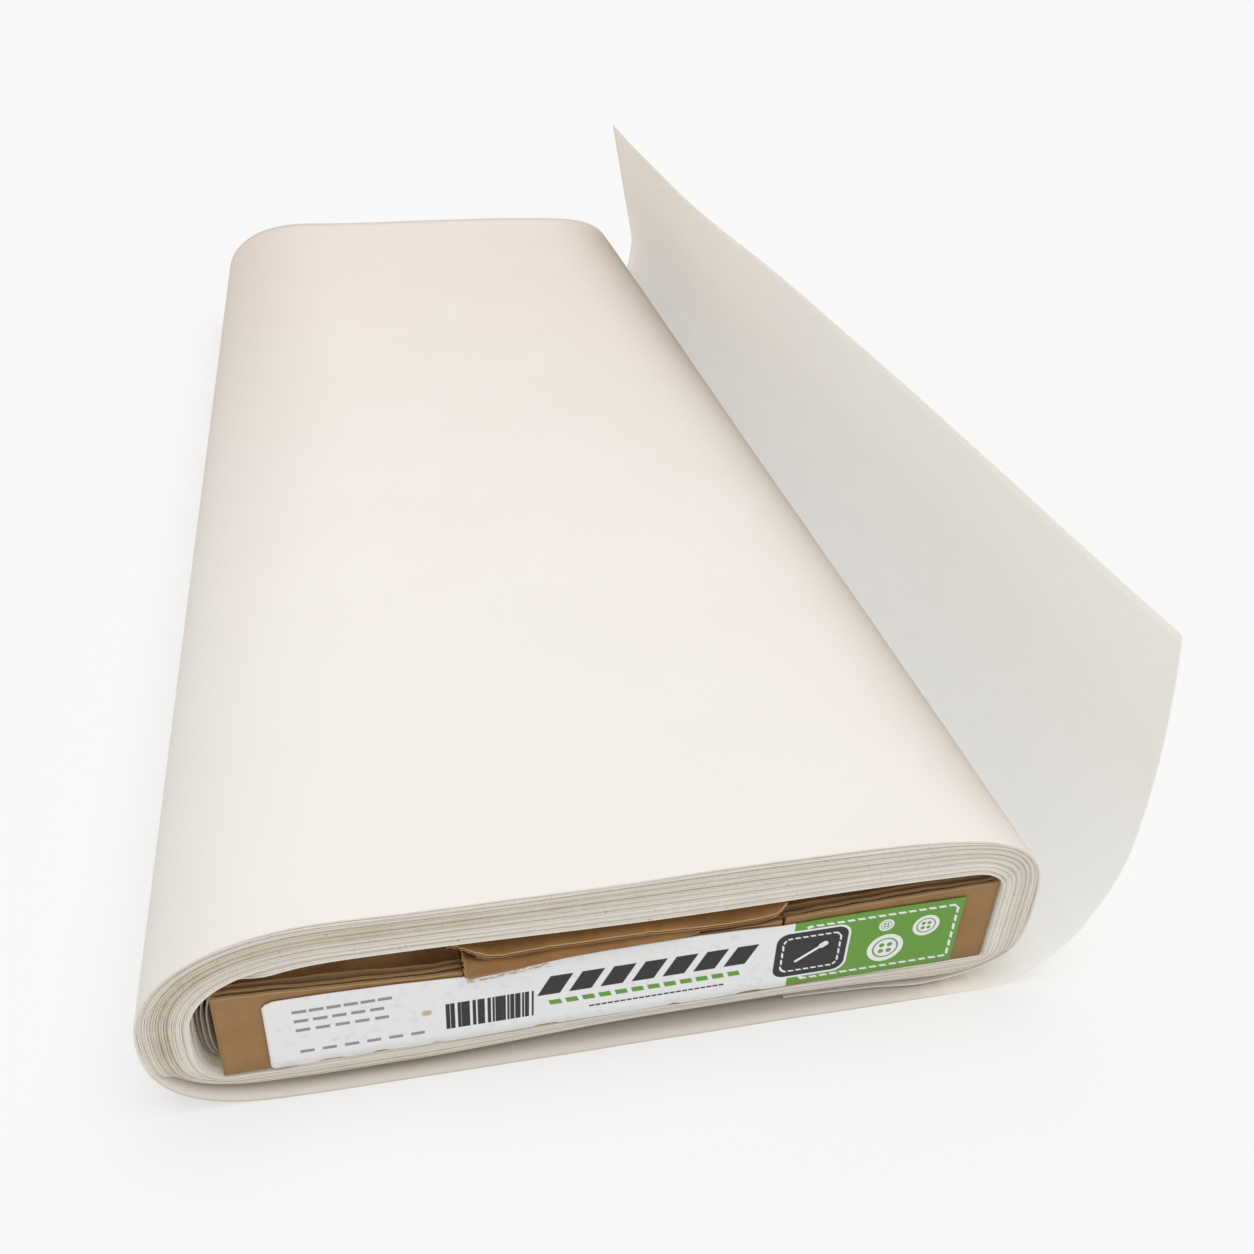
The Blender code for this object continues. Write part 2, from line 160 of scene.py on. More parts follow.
# Height of the end plies' tops across X: crushed lower towards the notch
PLY_TOP_X = (0.0163, 0.0320, 0.0500, 0.0640, 0.1455, 0.1570, 0.1690, 0.1850, 0.1995)
PLY_TOP_Z = (0.0341, 0.0336, 0.0326, 0.0318, 0.0348, 0.0353, 0.0359, 0.0366, 0.0371)
NOTCH_LEFT = 0.0700
NOTCH_RIGHT = 0.1455
NOTCH_DEPTH = 0.0015
SLIT_WIDTH = 0.0009
SLIT_DEPTH = 0.0052

HAIR = 1e-5                      # room between two columns where an edge steps down
# Pit in the fold behind the torn end of the flaps
PIT_PLACE = 0.0660
PIT_WIDTH = 0.0060
PIT_DEPTH = 0.0030
# Rows from the inner ply's front to the fold's back: place behind its front, sag, and share of
# the way from the ply's top to the fold's
FOLD_ROWS = ((0.0, 0.0, 0.0), (0.0004, -0.0001, 0.0), (PLY_SHOWN, 0.0003, 0.0), (0.0017, 0.0022, 0.0),
             (0.0030, 0.0024, 0.1), (0.0064, 0.0010, 0.6))
FOLD_SAG = 0.0002

# Lock tab and the two flaps that lie on it
TAB_PLY = 0.0012
FLAP_PLY = 0.0009                # thickness of the crushed flaps where they show
TAB_LEFT = 0.0702
TAB_RIGHT = 0.1240
TAB_PROUD = 0.0005
# Heights of the tab's lower edge and of its top across X
TAB_X = (0.0702, 0.0760, 0.0815, 0.0930, 0.1050, 0.1160, 0.1240)
TAB_LOW_Z = (0.0319, 0.0323, 0.0328, 0.0343, 0.0349, 0.0353, 0.0357)
TAB_TOP_Z = (0.0362, 0.0359, 0.0355, 0.0363, 0.0365, 0.0366, 0.0360)
TAB_BEND = 0.0020
TAB_CORNER = 0.0015              # width of the tab's worn lower left corner
FINE_PITCH = 0.0006              # pitch of the columns across the tab and the flaps
# Height of the upper flap's front edge across X, curled up at both ends
FRONT_X = (0.0665, 0.0715, 0.0735, 0.0755, 0.0785, 0.0830, 0.0890, 0.0980, 0.1050, 0.1100,
           0.1112, 0.1130, 0.1240, 0.1305, 0.1385, 0.1420, 0.1435, 0.1450)
FRONT_Z = (0.0394, 0.0396, 0.0391, 0.0380, 0.0374, 0.0377, 0.0381, 0.0383, 0.0385, 0.0384,
           0.0389, 0.0384, 0.0377, 0.0374, 0.0378, 0.0387, 0.0396, 0.0409)
TAB_BACK = FOLD_DEPTH - 0.0010
FLAP_LEFT = 0.0668
FLAP_RIGHT = 0.1447
LINER_FRONT = 0.0003
LINER_LEFT = 0.0730
LINER_RIGHT = 0.1425
# The tongue's front edge: torn back at its left end, bulged in its middle, set back at its right
TORN_TO = 0.0735
TORN_BACK = 0.0032
TORN_TEETH = 0.0004
BULGE_PLACE = 0.1110
BULGE_WIDTH = 0.0009
BULGE_OUT = 0.0003
RIGHT_FROM = 0.1425
RIGHT_BACK = 0.0010
CURL_BACK = 0.0105               # how far behind the front edge its curl ends
TAB_RISE = PLY_GAP - NOTCH_DEPTH
LINER_RISE = TAB_RISE + TAB_PLY + PLY_GAP
FLAP_RISE = LINER_RISE + TAB_PLY + PLY_GAP
FLAP_BACK = 0.5015

# Label
LABEL_LEFT = 0.0266
LABEL_WIDTH = 0.1645
LABEL_BOTTOM = 0.0095
LABEL_HEIGHT = 0.0220
LABEL_SLOPE = 0.0160
LABEL_THICKNESS = 0.00022
# Where the label's upper edge leaves a straight line, across X
LABEL_WAVE_X = (0.0266, 0.0400, 0.0540, 0.0627, 0.0697, 0.0800, 0.1010, 0.1220, 0.1350, 0.1446,
                0.1560, 0.1690)
LABEL_WAVE_Z = (0.0, 0.0, -0.0004, -0.0009, -0.0013, -0.0006, 0.0004, 0.0006, 0.0002, -0.0005,
                -0.0001, 0.0)
# Places across X where the label's lower edge is short and the cardboard shows
LABEL_GAPS = ((0.0370, 0.0427), (0.0490, 0.0527), (0.0623, 0.0646), (0.0858, 0.0920),
              (0.1183, 0.1211), (0.1356, 0.1415), (0.1493, 0.1546))
LABEL_GAP = 0.00045
LABEL_GAP_ENDS = (0.0008, 0.0012)    # how far a gap eases out and in at its ends
LABEL_CORNERS = (0.0016, 0.0008)     # how far the two left corners are rounded off, up and down

# Label print, in millimetres from the label's middle. A motif is a middle, a half width, a half
# height, a corner radius and, where it slants, a turn.
PRINT_TALL = 12.0                # half height of a motif that the label's edges cut off
PRINT_SOFTNESS = 0.12
BLOCK = ((61.0, 0.0), 22.0, PRINT_TALL, 0.2)
PATCH = ((44.0, 0.0), 9.0, 7.4, 3.0)
PATCH_RIM = ((44.0, 0.0), 9.6, 8.0, 3.4)
NEEDLE = ((44.0, 0.0), 4.6, 0.32, 0.3, 0.6)
NEEDLE_HEAD = ((47.0, 2.05), 1.2, 0.75, 0.7, 0.6)
NEEDLE_EYE = ((47.0, 2.05), 0.7, 0.3, 0.3, 0.6)
BARS = ((-33.0, -2.6), 10.0, 4.2, 0.1)
BAR_WIDTHS = ((1.7, 0.30), (1.13, 0.20), (4.1, 0.55))        # pitch and half width
TORN_PAPER = ((-28.6, 9.7), 9.6, 1.5, 0.4, 0.085)
STAIN_SPOT = ((-47.3, -0.3), 0.9, 0.6, 0.6)
# Running stitches: middle, outer and inner half sizes with radius, pitch, half dash and slant
BLOCK_STITCH = ((61.4, 0.0), (19.6, 9.2, 1.0), (18.9, 8.5, 1.0), 2.6, 0.85, 0.9)
PATCH_STITCH = ((44.0, 0.0), (7.4, 5.8, 2.0), (6.9, 5.3, 1.6), 1.9, 0.60, 0.8)
BUTTONS = (((63.5, -2.6), 4.6), ((73.2, 3.2), 3.4), ((62.6, 5.4), 1.9))      # middle and radius
# A button's rim, dish and holes, and how far out the holes lie, as shares of its radius
BUTTON_RIM, BUTTON_DISH, BUTTON_HOLE, BUTTON_SPREAD = 0.72, 0.62, 0.14, 0.22
# Rows of dashes: start, height, number, pitch, half length, half thickness and slant
BOLD_ROW = (-23.0, 2.6, 7, 7.4, 2.6, 3.0, -0.5)
GREEN_ROW = (-21.0, -3.3, 12, 3.9, 1.35, 0.75, 0.35)
FINE_ROW = (-10.0, -6.6, 22, 1.5, 0.55, 0.22, 0.0)
GREY_ROWS = [(-76.5, height, number, pitch, 1.5, 0.42, 0.0)
             for height, number, pitch in ((6.6, 6, 3.7), (3.6, 5, 4.1), (0.6, 5, 4.3), (-6.6, 6, 4.9))]

# Colours, linear
CLOTH_WHITE = (0.875, 0.836, 0.784)
CLOTH_SHADE = (0.862, 0.820, 0.765)
# Painted shade: the roll's far end darker and warmer, where less light falls
CLOTH_FAR_SHADE = (0.835, 0.742, 0.668)
CLOTH_FIBRE = (0.900, 0.870, 0.830)
CLOTH_SPECK = (0.200, 0.180, 0.160)
# Beige of the cut edges, also used for painted shade in the furrows and beside the board
EDGE_BEIGE_AND_SHADE = (0.600, 0.510, 0.370)
EDGE_WHITE = (0.920, 0.872, 0.785)
# Soil, also used for painted shade in furrows and recesses and for a painted contact shadow
EDGE_SOIL_AND_SHADE = (0.340, 0.275, 0.185)
KRAFT = (0.405, 0.232, 0.102)
KRAFT_DARK = (0.270, 0.140, 0.055)
KRAFT_EDGE = (0.560, 0.370, 0.190)
PANEL_KRAFT = (0.365, 0.210, 0.089)
PANEL_KRAFT_DARK = (0.305, 0.170, 0.070)
FLAP_KRAFT = (0.325, 0.172, 0.062)
FLAP_KRAFT_DARK = (0.262, 0.132, 0.045)
TORN_PALE = (0.700, 0.600, 0.460)
TORN_BROWN = (0.360, 0.230, 0.110)
PAPER = (0.900, 0.902, 0.898)
PAPER_GREY = (0.760, 0.762, 0.760)
GREEN = (0.137, 0.345, 0.037)
CHARCOAL = (0.018, 0.020, 0.022)
GREY_INK = (0.300, 0.300, 0.300)
STAIN = (0.420, 0.330, 0.140)
SMUDGE = (0.450, 0.420, 0.360)
# The single layer of cloth multiplies its colour by these, as painted light and shade: next to the
# roll, far from it below (painted light in the shaded valley), and far from it above (painted shade)
WHITE = np.ones(3)
PAINTED_LIGHT_BELOW = np.array((1.130, 1.075, 0.920))
PAINTED_SHADE_ABOVE = np.array((0.540, 0.495, 0.420))
SINGLE_DEPTHS = (0.0004, 0.0130)     # how deep light goes into it, next to the roll and far from it
FLOOR_WHITE = (0.430, 0.430, 0.430)
FLOOR_GLOW = 0.488               # the lit studio sweep shines by itself

chance = np.random.default_rng(508)


def at(x, y, z):
    """A point in the roll's own places, moved to the frame."""
    return Vector((LEFT + x, NEAR + y, z))


def mix(low, high, share):
    return low + (high - low) * share


def ease(value, start, end):
    """A smooth step from 0 at start to 1 at end."""
    share = np.clip((value - start) / (end - start), 0.0, 1.0)
    return share * share * (3 - 2 * share)


# Shader nodes

def put(tree, kind, inputs=(), **settings):
    """Adds a node. Each input is a value, or the output of another node."""
    node = tree.nodes.new(kind)
    for name, value in settings.items():
        setattr(node, name, value)
    for name, value in dict(inputs).items():
        if isinstance(value, bpy.types.NodeSocket):
            tree.links.new(value, node.inputs[name])
        else:
            node.inputs[name].default_value = value
    return node


def calc(tree, operation, first, second=0.0, third=0.0):
    inputs = {0: first, 1: second, 2: third}
    return put(tree, "ShaderNodeMath", inputs, operation=operation).outputs[0]


def remap(tree, value, low, high, to_low=0.0, to_high=1.0):
    inputs = {"Value": value, "From Min": low, "From Max": high, "To Min": to_low, "To Max": to_high}
    return put(tree, "ShaderNodeMapRange", inputs, interpolation_type="SMOOTHSTEP").outputs[0]


def blend_colours(tree, share, first, second):
    node = put(tree, "ShaderNodeMix", data_type="RGBA")
    for socket, value in zip((node.inputs[0], node.inputs[6], node.inputs[7]), (share, first, second)):
        if isinstance(value, bpy.types.NodeSocket):
            tree.links.new(value, socket)
        else:
            socket.default_value = value if isinstance(value, float) else (*value, 1.0)
    return node.outputs[2]


def layered(tree, colour, layers):
    """A colour with others laid over it in turn, each through its own mask."""
    for mask, over in layers:
        colour = blend_colours(tree, mask, colour, over)
    return colour


def stretched(tree, vector, scale, turn=(0.0, 0.0, 0.0)):
    return put(tree, "ShaderNodeMapping", {"Vector": vector, "Scale": scale, "Rotation": turn}).outputs[0]


def cloud(tree, vector, scale, detail=3.0, roughness=0.55):
    inputs = {"Vector": vector, "Scale": scale, "Detail": detail, "Roughness": roughness}
    return put(tree, "ShaderNodeTexNoise", inputs).outputs["Fac"]


def axes_of(tree, vector):
    return put(tree, "ShaderNodeSeparateXYZ", {0: vector}).outputs


def own_map(tree, name):
    """A piece's own UV map."""
    return put(tree, "ShaderNodeUVMap", uv_map=name).outputs[0]


def stored(tree, name):
    """The numbers that mark() stored on a piece."""
    return put(tree, "ShaderNodeAttribute", attribute_name=name).outputs["Fac"]


def new_group(name, inputs, outputs):
    """A node group with its sockets, and the nodes that carry them."""
    tree = bpy.data.node_groups.new(name, "ShaderNodeTree")
    for socket, kind, value in inputs:
        made = tree.interface.new_socket(name=socket, in_out="INPUT", socket_type=kind)
        if value is not None:
            made.default_value = value
    for socket in outputs:
        tree.interface.new_socket(name=socket, in_out="OUTPUT", socket_type="NodeSocketFloat")
    return tree, tree.nodes.new("NodeGroupInput").outputs, tree.nodes.new("NodeGroupOutput").inputs


def fibre_web_group():
    """Random-laid fibres: soft clouds, single fibres, and the height of both."""
    tree, given, out = new_group("fibre_web", (("Vector", "NodeSocketVector", None),),
                                 ("Clouds", "Fibres", "Height"))
    vector = given["Vector"]
    clouds = cloud(tree, vector, 26.0, 4.0, 0.6)
    fibres = cloud(tree, stretched(tree, vector, (900.0, 190.0, 300.0), (0.0, 0.0, 0.4)), 1.0, 2.0)
    crossing = cloud(tree, stretched(tree, vector, (210.0, 800.0, 300.0), (0.0, 0.0, -0.3)), 1.0, 2.0)
    slanted = cloud(tree, stretched(tree, vector, (700.0, 160.0, 300.0), (0.0, 0.0, 1.1)), 1.0, 2.0)
    together = calc(tree, "MAXIMUM", fibres, calc(tree, "MAXIMUM", crossing, slanted))
    fibres = remap(tree, together, 0.50, 0.78)
    grain = cloud(tree, vector, 1500.0, 2.0)
    height = calc(tree, "MULTIPLY_ADD", grain, 0.5, fibres)
    tree.links.new(clouds, out["Clouds"])
    tree.links.new(fibres, out["Fibres"])
    tree.links.new(height, out["Height"])
    return tree


def kraft_group():
    """Brown paper: blotches, long fibres, flutes that show through, and the height of all."""
    tree, given, out = new_group("kraft_paper", (("Vector", "NodeSocketVector", None),),
                                 ("Blotches", "Fibres", "Flutes", "Height"))
    vector = given["Vector"]
    blotches = cloud(tree, vector, 90.0, 5.0, 0.65)
    fibres = cloud(tree, stretched(tree, vector, (260.0, 900.0, 1400.0)), 1.0, 3.0)
    specks = remap(tree, cloud(tree, vector, 1700.0, 1.0), 0.66, 0.74)
    wave = put(tree, "ShaderNodeTexWave",
               {"Vector": vector, "Scale": 1.0 / (FLUTE_PITCH * 6.4), "Distortion": 1.2,
                "Detail": 1.0, "Detail Scale": 0.4},
               bands_direction="X").outputs["Fac"]
    height = calc(tree, "MULTIPLY_ADD", wave, 0.35, calc(tree, "ADD", fibres, specks))
    tree.links.new(blotches, out["Blotches"])
    tree.links.new(calc(tree, "SUBTRACT", fibres, calc(tree, "MULTIPLY", specks, 0.35)), out["Fibres"])
    tree.links.new(wave, out["Flutes"])
    tree.links.new(height, out["Height"])
    return tree


def rounded_box_group():
    """1 inside a box with rounded corners, 0 outside it. Sizes in the pattern's own units."""
    tree, given, out = new_group("rounded_box", (("Vector", "NodeSocketVector", None),
                                                 ("Half Width", "NodeSocketFloat", 1.0),
                                                 ("Half Height", "NodeSocketFloat", 1.0),
                                                 ("Radius", "NodeSocketFloat", 0.1),
                                                 ("Softness", "NodeSocketFloat", 0.1)),
                                 ("Inside",))
    split = axes_of(tree, given["Vector"])
    over = []
    for axis, half in (("X", "Half Width"), ("Y", "Half Height")):
        straight = calc(tree, "SUBTRACT", given[half], given["Radius"])
        over.append(calc(tree, "SUBTRACT", calc(tree, "ABSOLUTE", split[axis]), straight))
    outside = [calc(tree, "MAXIMUM", value, 0.0) for value in over]
    reach = calc(tree, "SQRT", calc(tree, "MULTIPLY_ADD", outside[0], outside[0],
                                    calc(tree, "MULTIPLY", outside[1], outside[1])))
    inside = calc(tree, "MINIMUM", calc(tree, "MAXIMUM", over[0], over[1]), 0.0)
    distance = calc(tree, "SUBTRACT", calc(tree, "ADD", reach, inside), given["Radius"])
    mask = put(tree, "ShaderNodeMapRange", {"Value": distance, "From Min": 0.0, "To Min": 1.0,
                                            "From Max": given["Softness"], "To Max": 0.0})
    tree.links.new(mask.outputs[0], out["Inside"])
    return tree


FIBRE_WEB = fibre_web_group()
KRAFT_PAPER = kraft_group()
ROUNDED_BOX = rounded_box_group()


def new_material(name, roughness, sheen=0.0, specular=0.3):
    material = bpy.data.materials.new(name)
    material.use_nodes = True
    tree = material.node_tree
    shader = tree.nodes["Principled BSDF"]
    shader.inputs["Roughness"].default_value = roughness
    shader.inputs["Metallic"].default_value = 0.0
    shader.inputs["Specular IOR Level"].default_value = specular
    shader.inputs["Sheen Weight"].default_value = sheen
    shader.inputs["Sheen Roughness"].default_value = 0.6
    return material, tree, shader


def group_node(tree, group, inputs):
    return put(tree, "ShaderNodeGroup", inputs, node_tree=group).outputs


def bump(tree, shader, height, distance, strength=1.0):
    inputs = {"Height": height, "Distance": distance, "Strength": strength}
    made = put(tree, "ShaderNodeBump", inputs)
    tree.links.new(made.outputs[0], shader.inputs["Normal"])


def cloth_material(name, shine_through, depth, low, high):
    """The faces of the cloth: warm white, a little cloudy, with single fibres.

    Its colour is multiplied by one from low to high, along the attribute height: painted light low down
    and painted shade high up, where the two differ.
    """
    material, tree, shader = new_material(name, 0.92, sheen=0.12, specular=0.2)
    shader.inputs["Subsurface Weight"].default_value = shine_through
    shader.inputs["Subsurface Radius"].default_value = (1.0, 1.0, 1.0)
    shader.inputs["Subsurface Scale"].default_value = depth
    vector = own_map(tree, "cloth")
    web = group_node(tree, FIBRE_WEB, {"Vector": vector})
    farther = remap(tree, axes_of(tree, vector)["Y"], 0.05, 0.50)
    colour = layered(tree, CLOTH_WHITE, (
        (remap(tree, web["Clouds"], 0.30, 0.75), CLOTH_SHADE),
        # Painted shade: darker and warmer towards the far end, broken up by the clouds
        (calc(tree, "MULTIPLY", farther, remap(tree, web["Clouds"], 0.1, 0.6, 0.7, 1.0)), CLOTH_FAR_SHADE),
        (calc(tree, "MULTIPLY", web["Fibres"], 0.15), CLOTH_FIBRE),
        # Soil and painted shade, from the attribute that each piece stores
        (stored(tree, "soil_and_shade"), EDGE_SOIL_AND_SHADE)))
    # Painted light low down and painted shade high up, by the attribute height
    painted_light_and_shade = blend_colours(tree, remap(tree, stored(tree, "height"), 0.010, 0.075), low, high)
    painted_shading_colour = put(tree, "ShaderNodeVectorMath", {0: colour, 1: painted_light_and_shade}, operation="MULTIPLY").outputs[0]
    tree.links.new(painted_shading_colour, shader.inputs["Base Color"])
    tree.links.new(remap(tree, web["Fibres"], 0.0, 1.0, 0.95, 0.86), shader.inputs["Roughness"])
    bump(tree, shader, web["Height"], 0.00006, 0.6)
    return material


def turns_material():
    """The wound turns: white faces, and cut edges in beige and pale bands with a few specks."""
    material, tree, shader = new_material("interfacing_turns", 0.95, sheen=0.1, specular=0.15)
    vector = own_map(tree, "cloth")
    web = group_node(tree, FIBRE_WEB, {"Vector": vector})
    along = axes_of(tree, vector)["Y"]
    from_edge = calc(tree, "MINIMUM", along, calc(tree, "SUBTRACT", CLOTH_WIDTH, along))
    near_edge = remap(tree, from_edge, 0.0, 0.004, 1.0, 0.25)
    place = put(tree, "ShaderNodeTexCoord").outputs["Object"]
    blotches = remap(tree, cloud(tree, place, 160.0, 3.0, 0.6), 0.35, 0.70, 0.75, 1.1)
    # The beige holds the edges' own colour and painted shade in the furrows and beside the board
    beige_and_shade = calc(tree, "MULTIPLY", calc(tree, "MULTIPLY", stored(tree, "tone_and_shade"), blotches), near_edge)
    specks = remap(tree, cloud(tree, place, 900.0, 1.0), 0.735, 0.775, 0.0, 0.5)
    specks = calc(tree, "MULTIPLY", specks, near_edge)
    # Soil and painted shade are laid over the turns' colour
    colour = layered(tree, EDGE_WHITE, (
        (beige_and_shade, EDGE_BEIGE_AND_SHADE), (stored(tree, "soil_and_shade"), EDGE_SOIL_AND_SHADE), (specks, CLOTH_SPECK)))
    tree.links.new(colour, shader.inputs["Base Color"])
    bump(tree, shader, web["Height"], 0.00010, 0.8)
    return material


def kraft_material(name, light, dark):
    """Brown cardboard. Raw edges, marked by the attribute raw, are paler and rougher."""
    material, tree, shader = new_material(name, 0.82, specular=0.25)
    place = put(tree, "ShaderNodeTexCoord").outputs["Object"]
    paper = group_node(tree, KRAFT_PAPER, {"Vector": place})
    worn = calc(tree, "MULTIPLY", stored(tree, "raw"), remap(tree, paper["Fibres"], 0.25, 0.60, 0.8, 1.0))
    colour = layered(tree, light, (
        (remap(tree, paper["Blotches"], 0.30, 0.72), dark),
        (remap(tree, paper["Fibres"], 0.30, 0.62, 0.0, 0.14), [1.25 * value for value in light]),
        (calc(tree, "MULTIPLY", paper["Flutes"], 0.10), dark),
        (worn, KRAFT_EDGE)))
    tree.links.new(colour, shader.inputs["Base Color"])
    tree.links.new(remap(tree, paper["Fibres"], 0.2, 0.8, 0.76, 0.92), shader.inputs["Roughness"])
    bump(tree, shader, paper["Height"], 0.00008, 0.5)
    return material


def floor_material():
    material, tree, shader = new_material("floor_paper", 0.95, specular=0.1)
    shader.inputs["Base Color"].default_value = (*FLOOR_WHITE, 1.0)
    shader.inputs["Emission Color"].default_value = (1.0, 1.0, 1.0, 1.0)
    shader.inputs["Emission Strength"].default_value = FLOOR_GLOW
    return material


def label_material():
    """White paper, with a print of rounded boxes on the label's own map."""
    material, tree, shader = new_material("label_print", 0.5, specular=0.4)
    vector = own_map(tree, "label")

    def box(middle, half_width, half_height, radius=0.2, turn=0.0, source=vector,
            softness=PRINT_SOFTNESS):
        moved = put(tree, "ShaderNodeMapping",
                    {"Vector": source, "Location": (*middle, 0.0), "Rotation": (0.0, 0.0, turn)},
                    vector_type="TEXTURE").outputs[0]
        return group_node(tree, ROUNDED_BOX, {"Vector": moved, "Half Width": half_width,
                                              "Half Height": half_height, "Radius": radius,
                                              "Softness": softness})["Inside"]

    def both(first, second):
        return calc(tree, "MULTIPLY", first, second)

    def either(first, second):
        return calc(tree, "MAXIMUM", first, second)

    def without(first, second):
        return calc(tree, "MULTIPLY", first, calc(tree, "SUBTRACT", 1.0, second))

    def dashes(pitch, half_dash, slant=0.0, start=0.0):
        """Dashes as tall as the label, one in each pitch from a start on."""
        split = axes_of(tree, vector)
        leaning = calc(tree, "MULTIPLY_ADD", split["Y"], slant, calc(tree, "SUBTRACT", split["X"], start))
        repeated = calc(tree, "SUBTRACT", calc(tree, "FLOORED_MODULO", leaning, pitch), pitch / 2)
        source = put(tree, "ShaderNodeCombineXYZ", {"X": repeated, "Y": split["Y"]}).outputs[0]
        return box((0.0, 0.0), half_dash, PRINT_TALL, source=source)

    def row(start, height, number, pitch, half_dash, half_height, slant):
        """A row of whole dashes from a start, all leaning the same way."""
        split = axes_of(tree, vector)
        leaning = calc(tree, "MULTIPLY_ADD", split["Y"], slant, split["X"])
        leaning = put(tree, "ShaderNodeCombineXYZ", {"X": leaning, "Y": split["Y"]}).outputs[0]
        half = number * pitch / 2
        ends = box((start + half, height), half, half_height, 0.05, source=leaning)
        return both(ends, dashes(pitch, half_dash, slant, start))

    def running_stitch(middle, outer, inner, pitch, half_dash, slant):
        return both(without(box(middle, *outer), box(middle, *inner)), dashes(pitch, half_dash, slant))

    def disc(middle, radius):
        return box(middle, radius, radius, radius)

    def button(middle, radius):
        """A rim, a dish inside it, and four holes."""
        shown = either(without(disc(middle, radius), disc(middle, radius * BUTTON_RIM)),
                       disc(middle, radius * BUTTON_DISH))
        spread = radius * BUTTON_SPREAD
        for across in (-spread, spread):
            for up in (-spread, spread):
                hole = disc((middle[0] + across, middle[1] + up), radius * BUTTON_HOLE)
                shown = without(shown, hole)
        return shown

    # A green block with buttons, a charcoal patch with a needle, and rows of dashes and bars
    bars = [dashes(pitch, half_width) for pitch, half_width in BAR_WIDTHS]
    bars = both(either(bars[0], either(bars[1], bars[2])), box(*BARS))
    needle = either(box(*NEEDLE), without(box(*NEEDLE_HEAD), box(*NEEDLE_EYE)))
    colour = layered(tree, PAPER, (
        (remap(tree, cloud(tree, vector, 0.35, 4.0), 0.50, 0.85), PAPER_GREY),
        (box(*BLOCK), GREEN),
        (running_stitch(*BLOCK_STITCH), PAPER),
        *((button(*place), PAPER) for place in BUTTONS),
        (box(*PATCH_RIM), PAPER),
        (box(*PATCH), CHARCOAL),
        (running_stitch(*PATCH_STITCH), PAPER),
        (needle, PAPER),
        (row(*BOLD_ROW), CHARCOAL),
        (row(*GREEN_ROW), GREEN),
        (row(*FINE_ROW), CHARCOAL),
        (bars, CHARCOAL),
        *((row(*grey), GREY_INK) for grey in GREY_ROWS)))

    # Paper left by the tab where it was torn off, a stain, and a few smudges
    tatters = cloud(tree, stretched(tree, vector, (0.55, 1.3, 1.0)), 1.1, 5.0, 0.7)
    torn = both(box(*TORN_PAPER), remap(tree, tatters, 0.45, 0.56))
    colour = layered(tree, colour, (
        (torn, blend_colours(tree, cloud(tree, vector, 2.1, 4.0), TORN_PALE, TORN_BROWN)),
        (calc(tree, "MULTIPLY", box(*STAIN_SPOT, softness=0.5), 0.7), STAIN),
        (remap(tree, cloud(tree, vector, 0.10, 4.0, 0.6), 0.62, 0.85, 0.0, 0.10), SMUDGE)))
    tree.links.new(colour, shader.inputs["Base Color"])
    bump(tree, shader, cloud(tree, vector, 2.5, 4.0), 0.00006, 0.5)
    return material


CLOTH = cloth_material("interfacing_face", 0.0, 0.001, WHITE, WHITE)
# The single layer lets more light through the further it is from the roll; its colour also carries painted
# light low down and painted shade high up, in steps
STANDING_CLOTH_PAINTED_LIGHT = [cloth_material(f"interfacing_single_painted_light_{step}", 1.0, mix(*SINGLE_DEPTHS, share ** 2),
                                 mix(WHITE, PAINTED_LIGHT_BELOW, share), mix(WHITE, PAINTED_SHADE_ABOVE, share))
                  for step, share in enumerate(np.linspace(0.0, 1.0, STANDING_STEPS))]
TURNS_FINISH = turns_material()
BOARD_FINISH = kraft_material("board_kraft", KRAFT, KRAFT_DARK)
PANEL_FINISH = kraft_material("panel_kraft", PANEL_KRAFT, PANEL_KRAFT_DARK)
FLAP_FINISH = kraft_material("flap_kraft", FLAP_KRAFT, FLAP_KRAFT_DARK)
LABEL_FINISH = label_material()


# Making meshes

def add_grid(form, points):
    """A sheet of quads: create_grid's vertices, each moved to its row and column's place."""
    rows, columns = points.shape[:2]
    made = bmesh.ops.create_grid(form, x_segments=columns - 1, y_segments=rows - 1, size=1.0)
    for vert, point in zip(made["verts"], points.reshape(-1, 3)):
        vert.co = at(*point)
    return made["verts"]


def map_grid(form, verts, name, across, along):
    """Gives a grid's vertices their places on the piece's own map."""
    layer = form.loops.layers.uv.new(name)
    places = dict(zip(verts, zip(across, along)))
    for face in {face for vert in verts for face in vert.link_faces}:
        for loop in face.loops:
            loop[layer].uv = places[loop.vert]


def make_object(name, form, material):
    mesh = bpy.data.meshes.new(name)
    form.to_mesh(mesh)
    form.free()
    mesh.materials.append(material)
    made = bpy.data.objects.new(name, mesh)
    bpy.context.scene.collection.objects.link(made)
    return made


def add_piece(name, form, material, node):
    """Turns a bmesh into a piece of the part that stands for a node, with its finish and slot."""
    piece = make_object(name, form, material)
    piece.data.shade_smooth()
    piece.data.set_sharp_from_angle(angle=math.radians(40))
    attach(piece, "root")
    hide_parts(node)
    return piece


def thicken(piece, thickness, weights=None, even=True):
    """Gives a sheet its thickness, on the side that its faces point away from."""
    wall = piece.modifiers.new("thickness", "SOLIDIFY")
    wall.thickness = thickness
    wall.offset = -1.0
    wall.use_even_offset = even
    if weights is not None:
        group = piece.vertex_groups.new(name="fullness")
        for index, weight in enumerate(weights):
            group.add([index], float(weight), "REPLACE")
        wall.vertex_group = "fullness"
        wall.thickness_vertex_group = 0.0


def mark(piece, name, values):
    """Stores one number for each vertex, for the finish to read."""
    made = piece.data.attributes.new(name, "FLOAT", "POINT")
    made.data.foreach_set("value", np.asarray(values, dtype=np.float32))


# Turns of the cloth

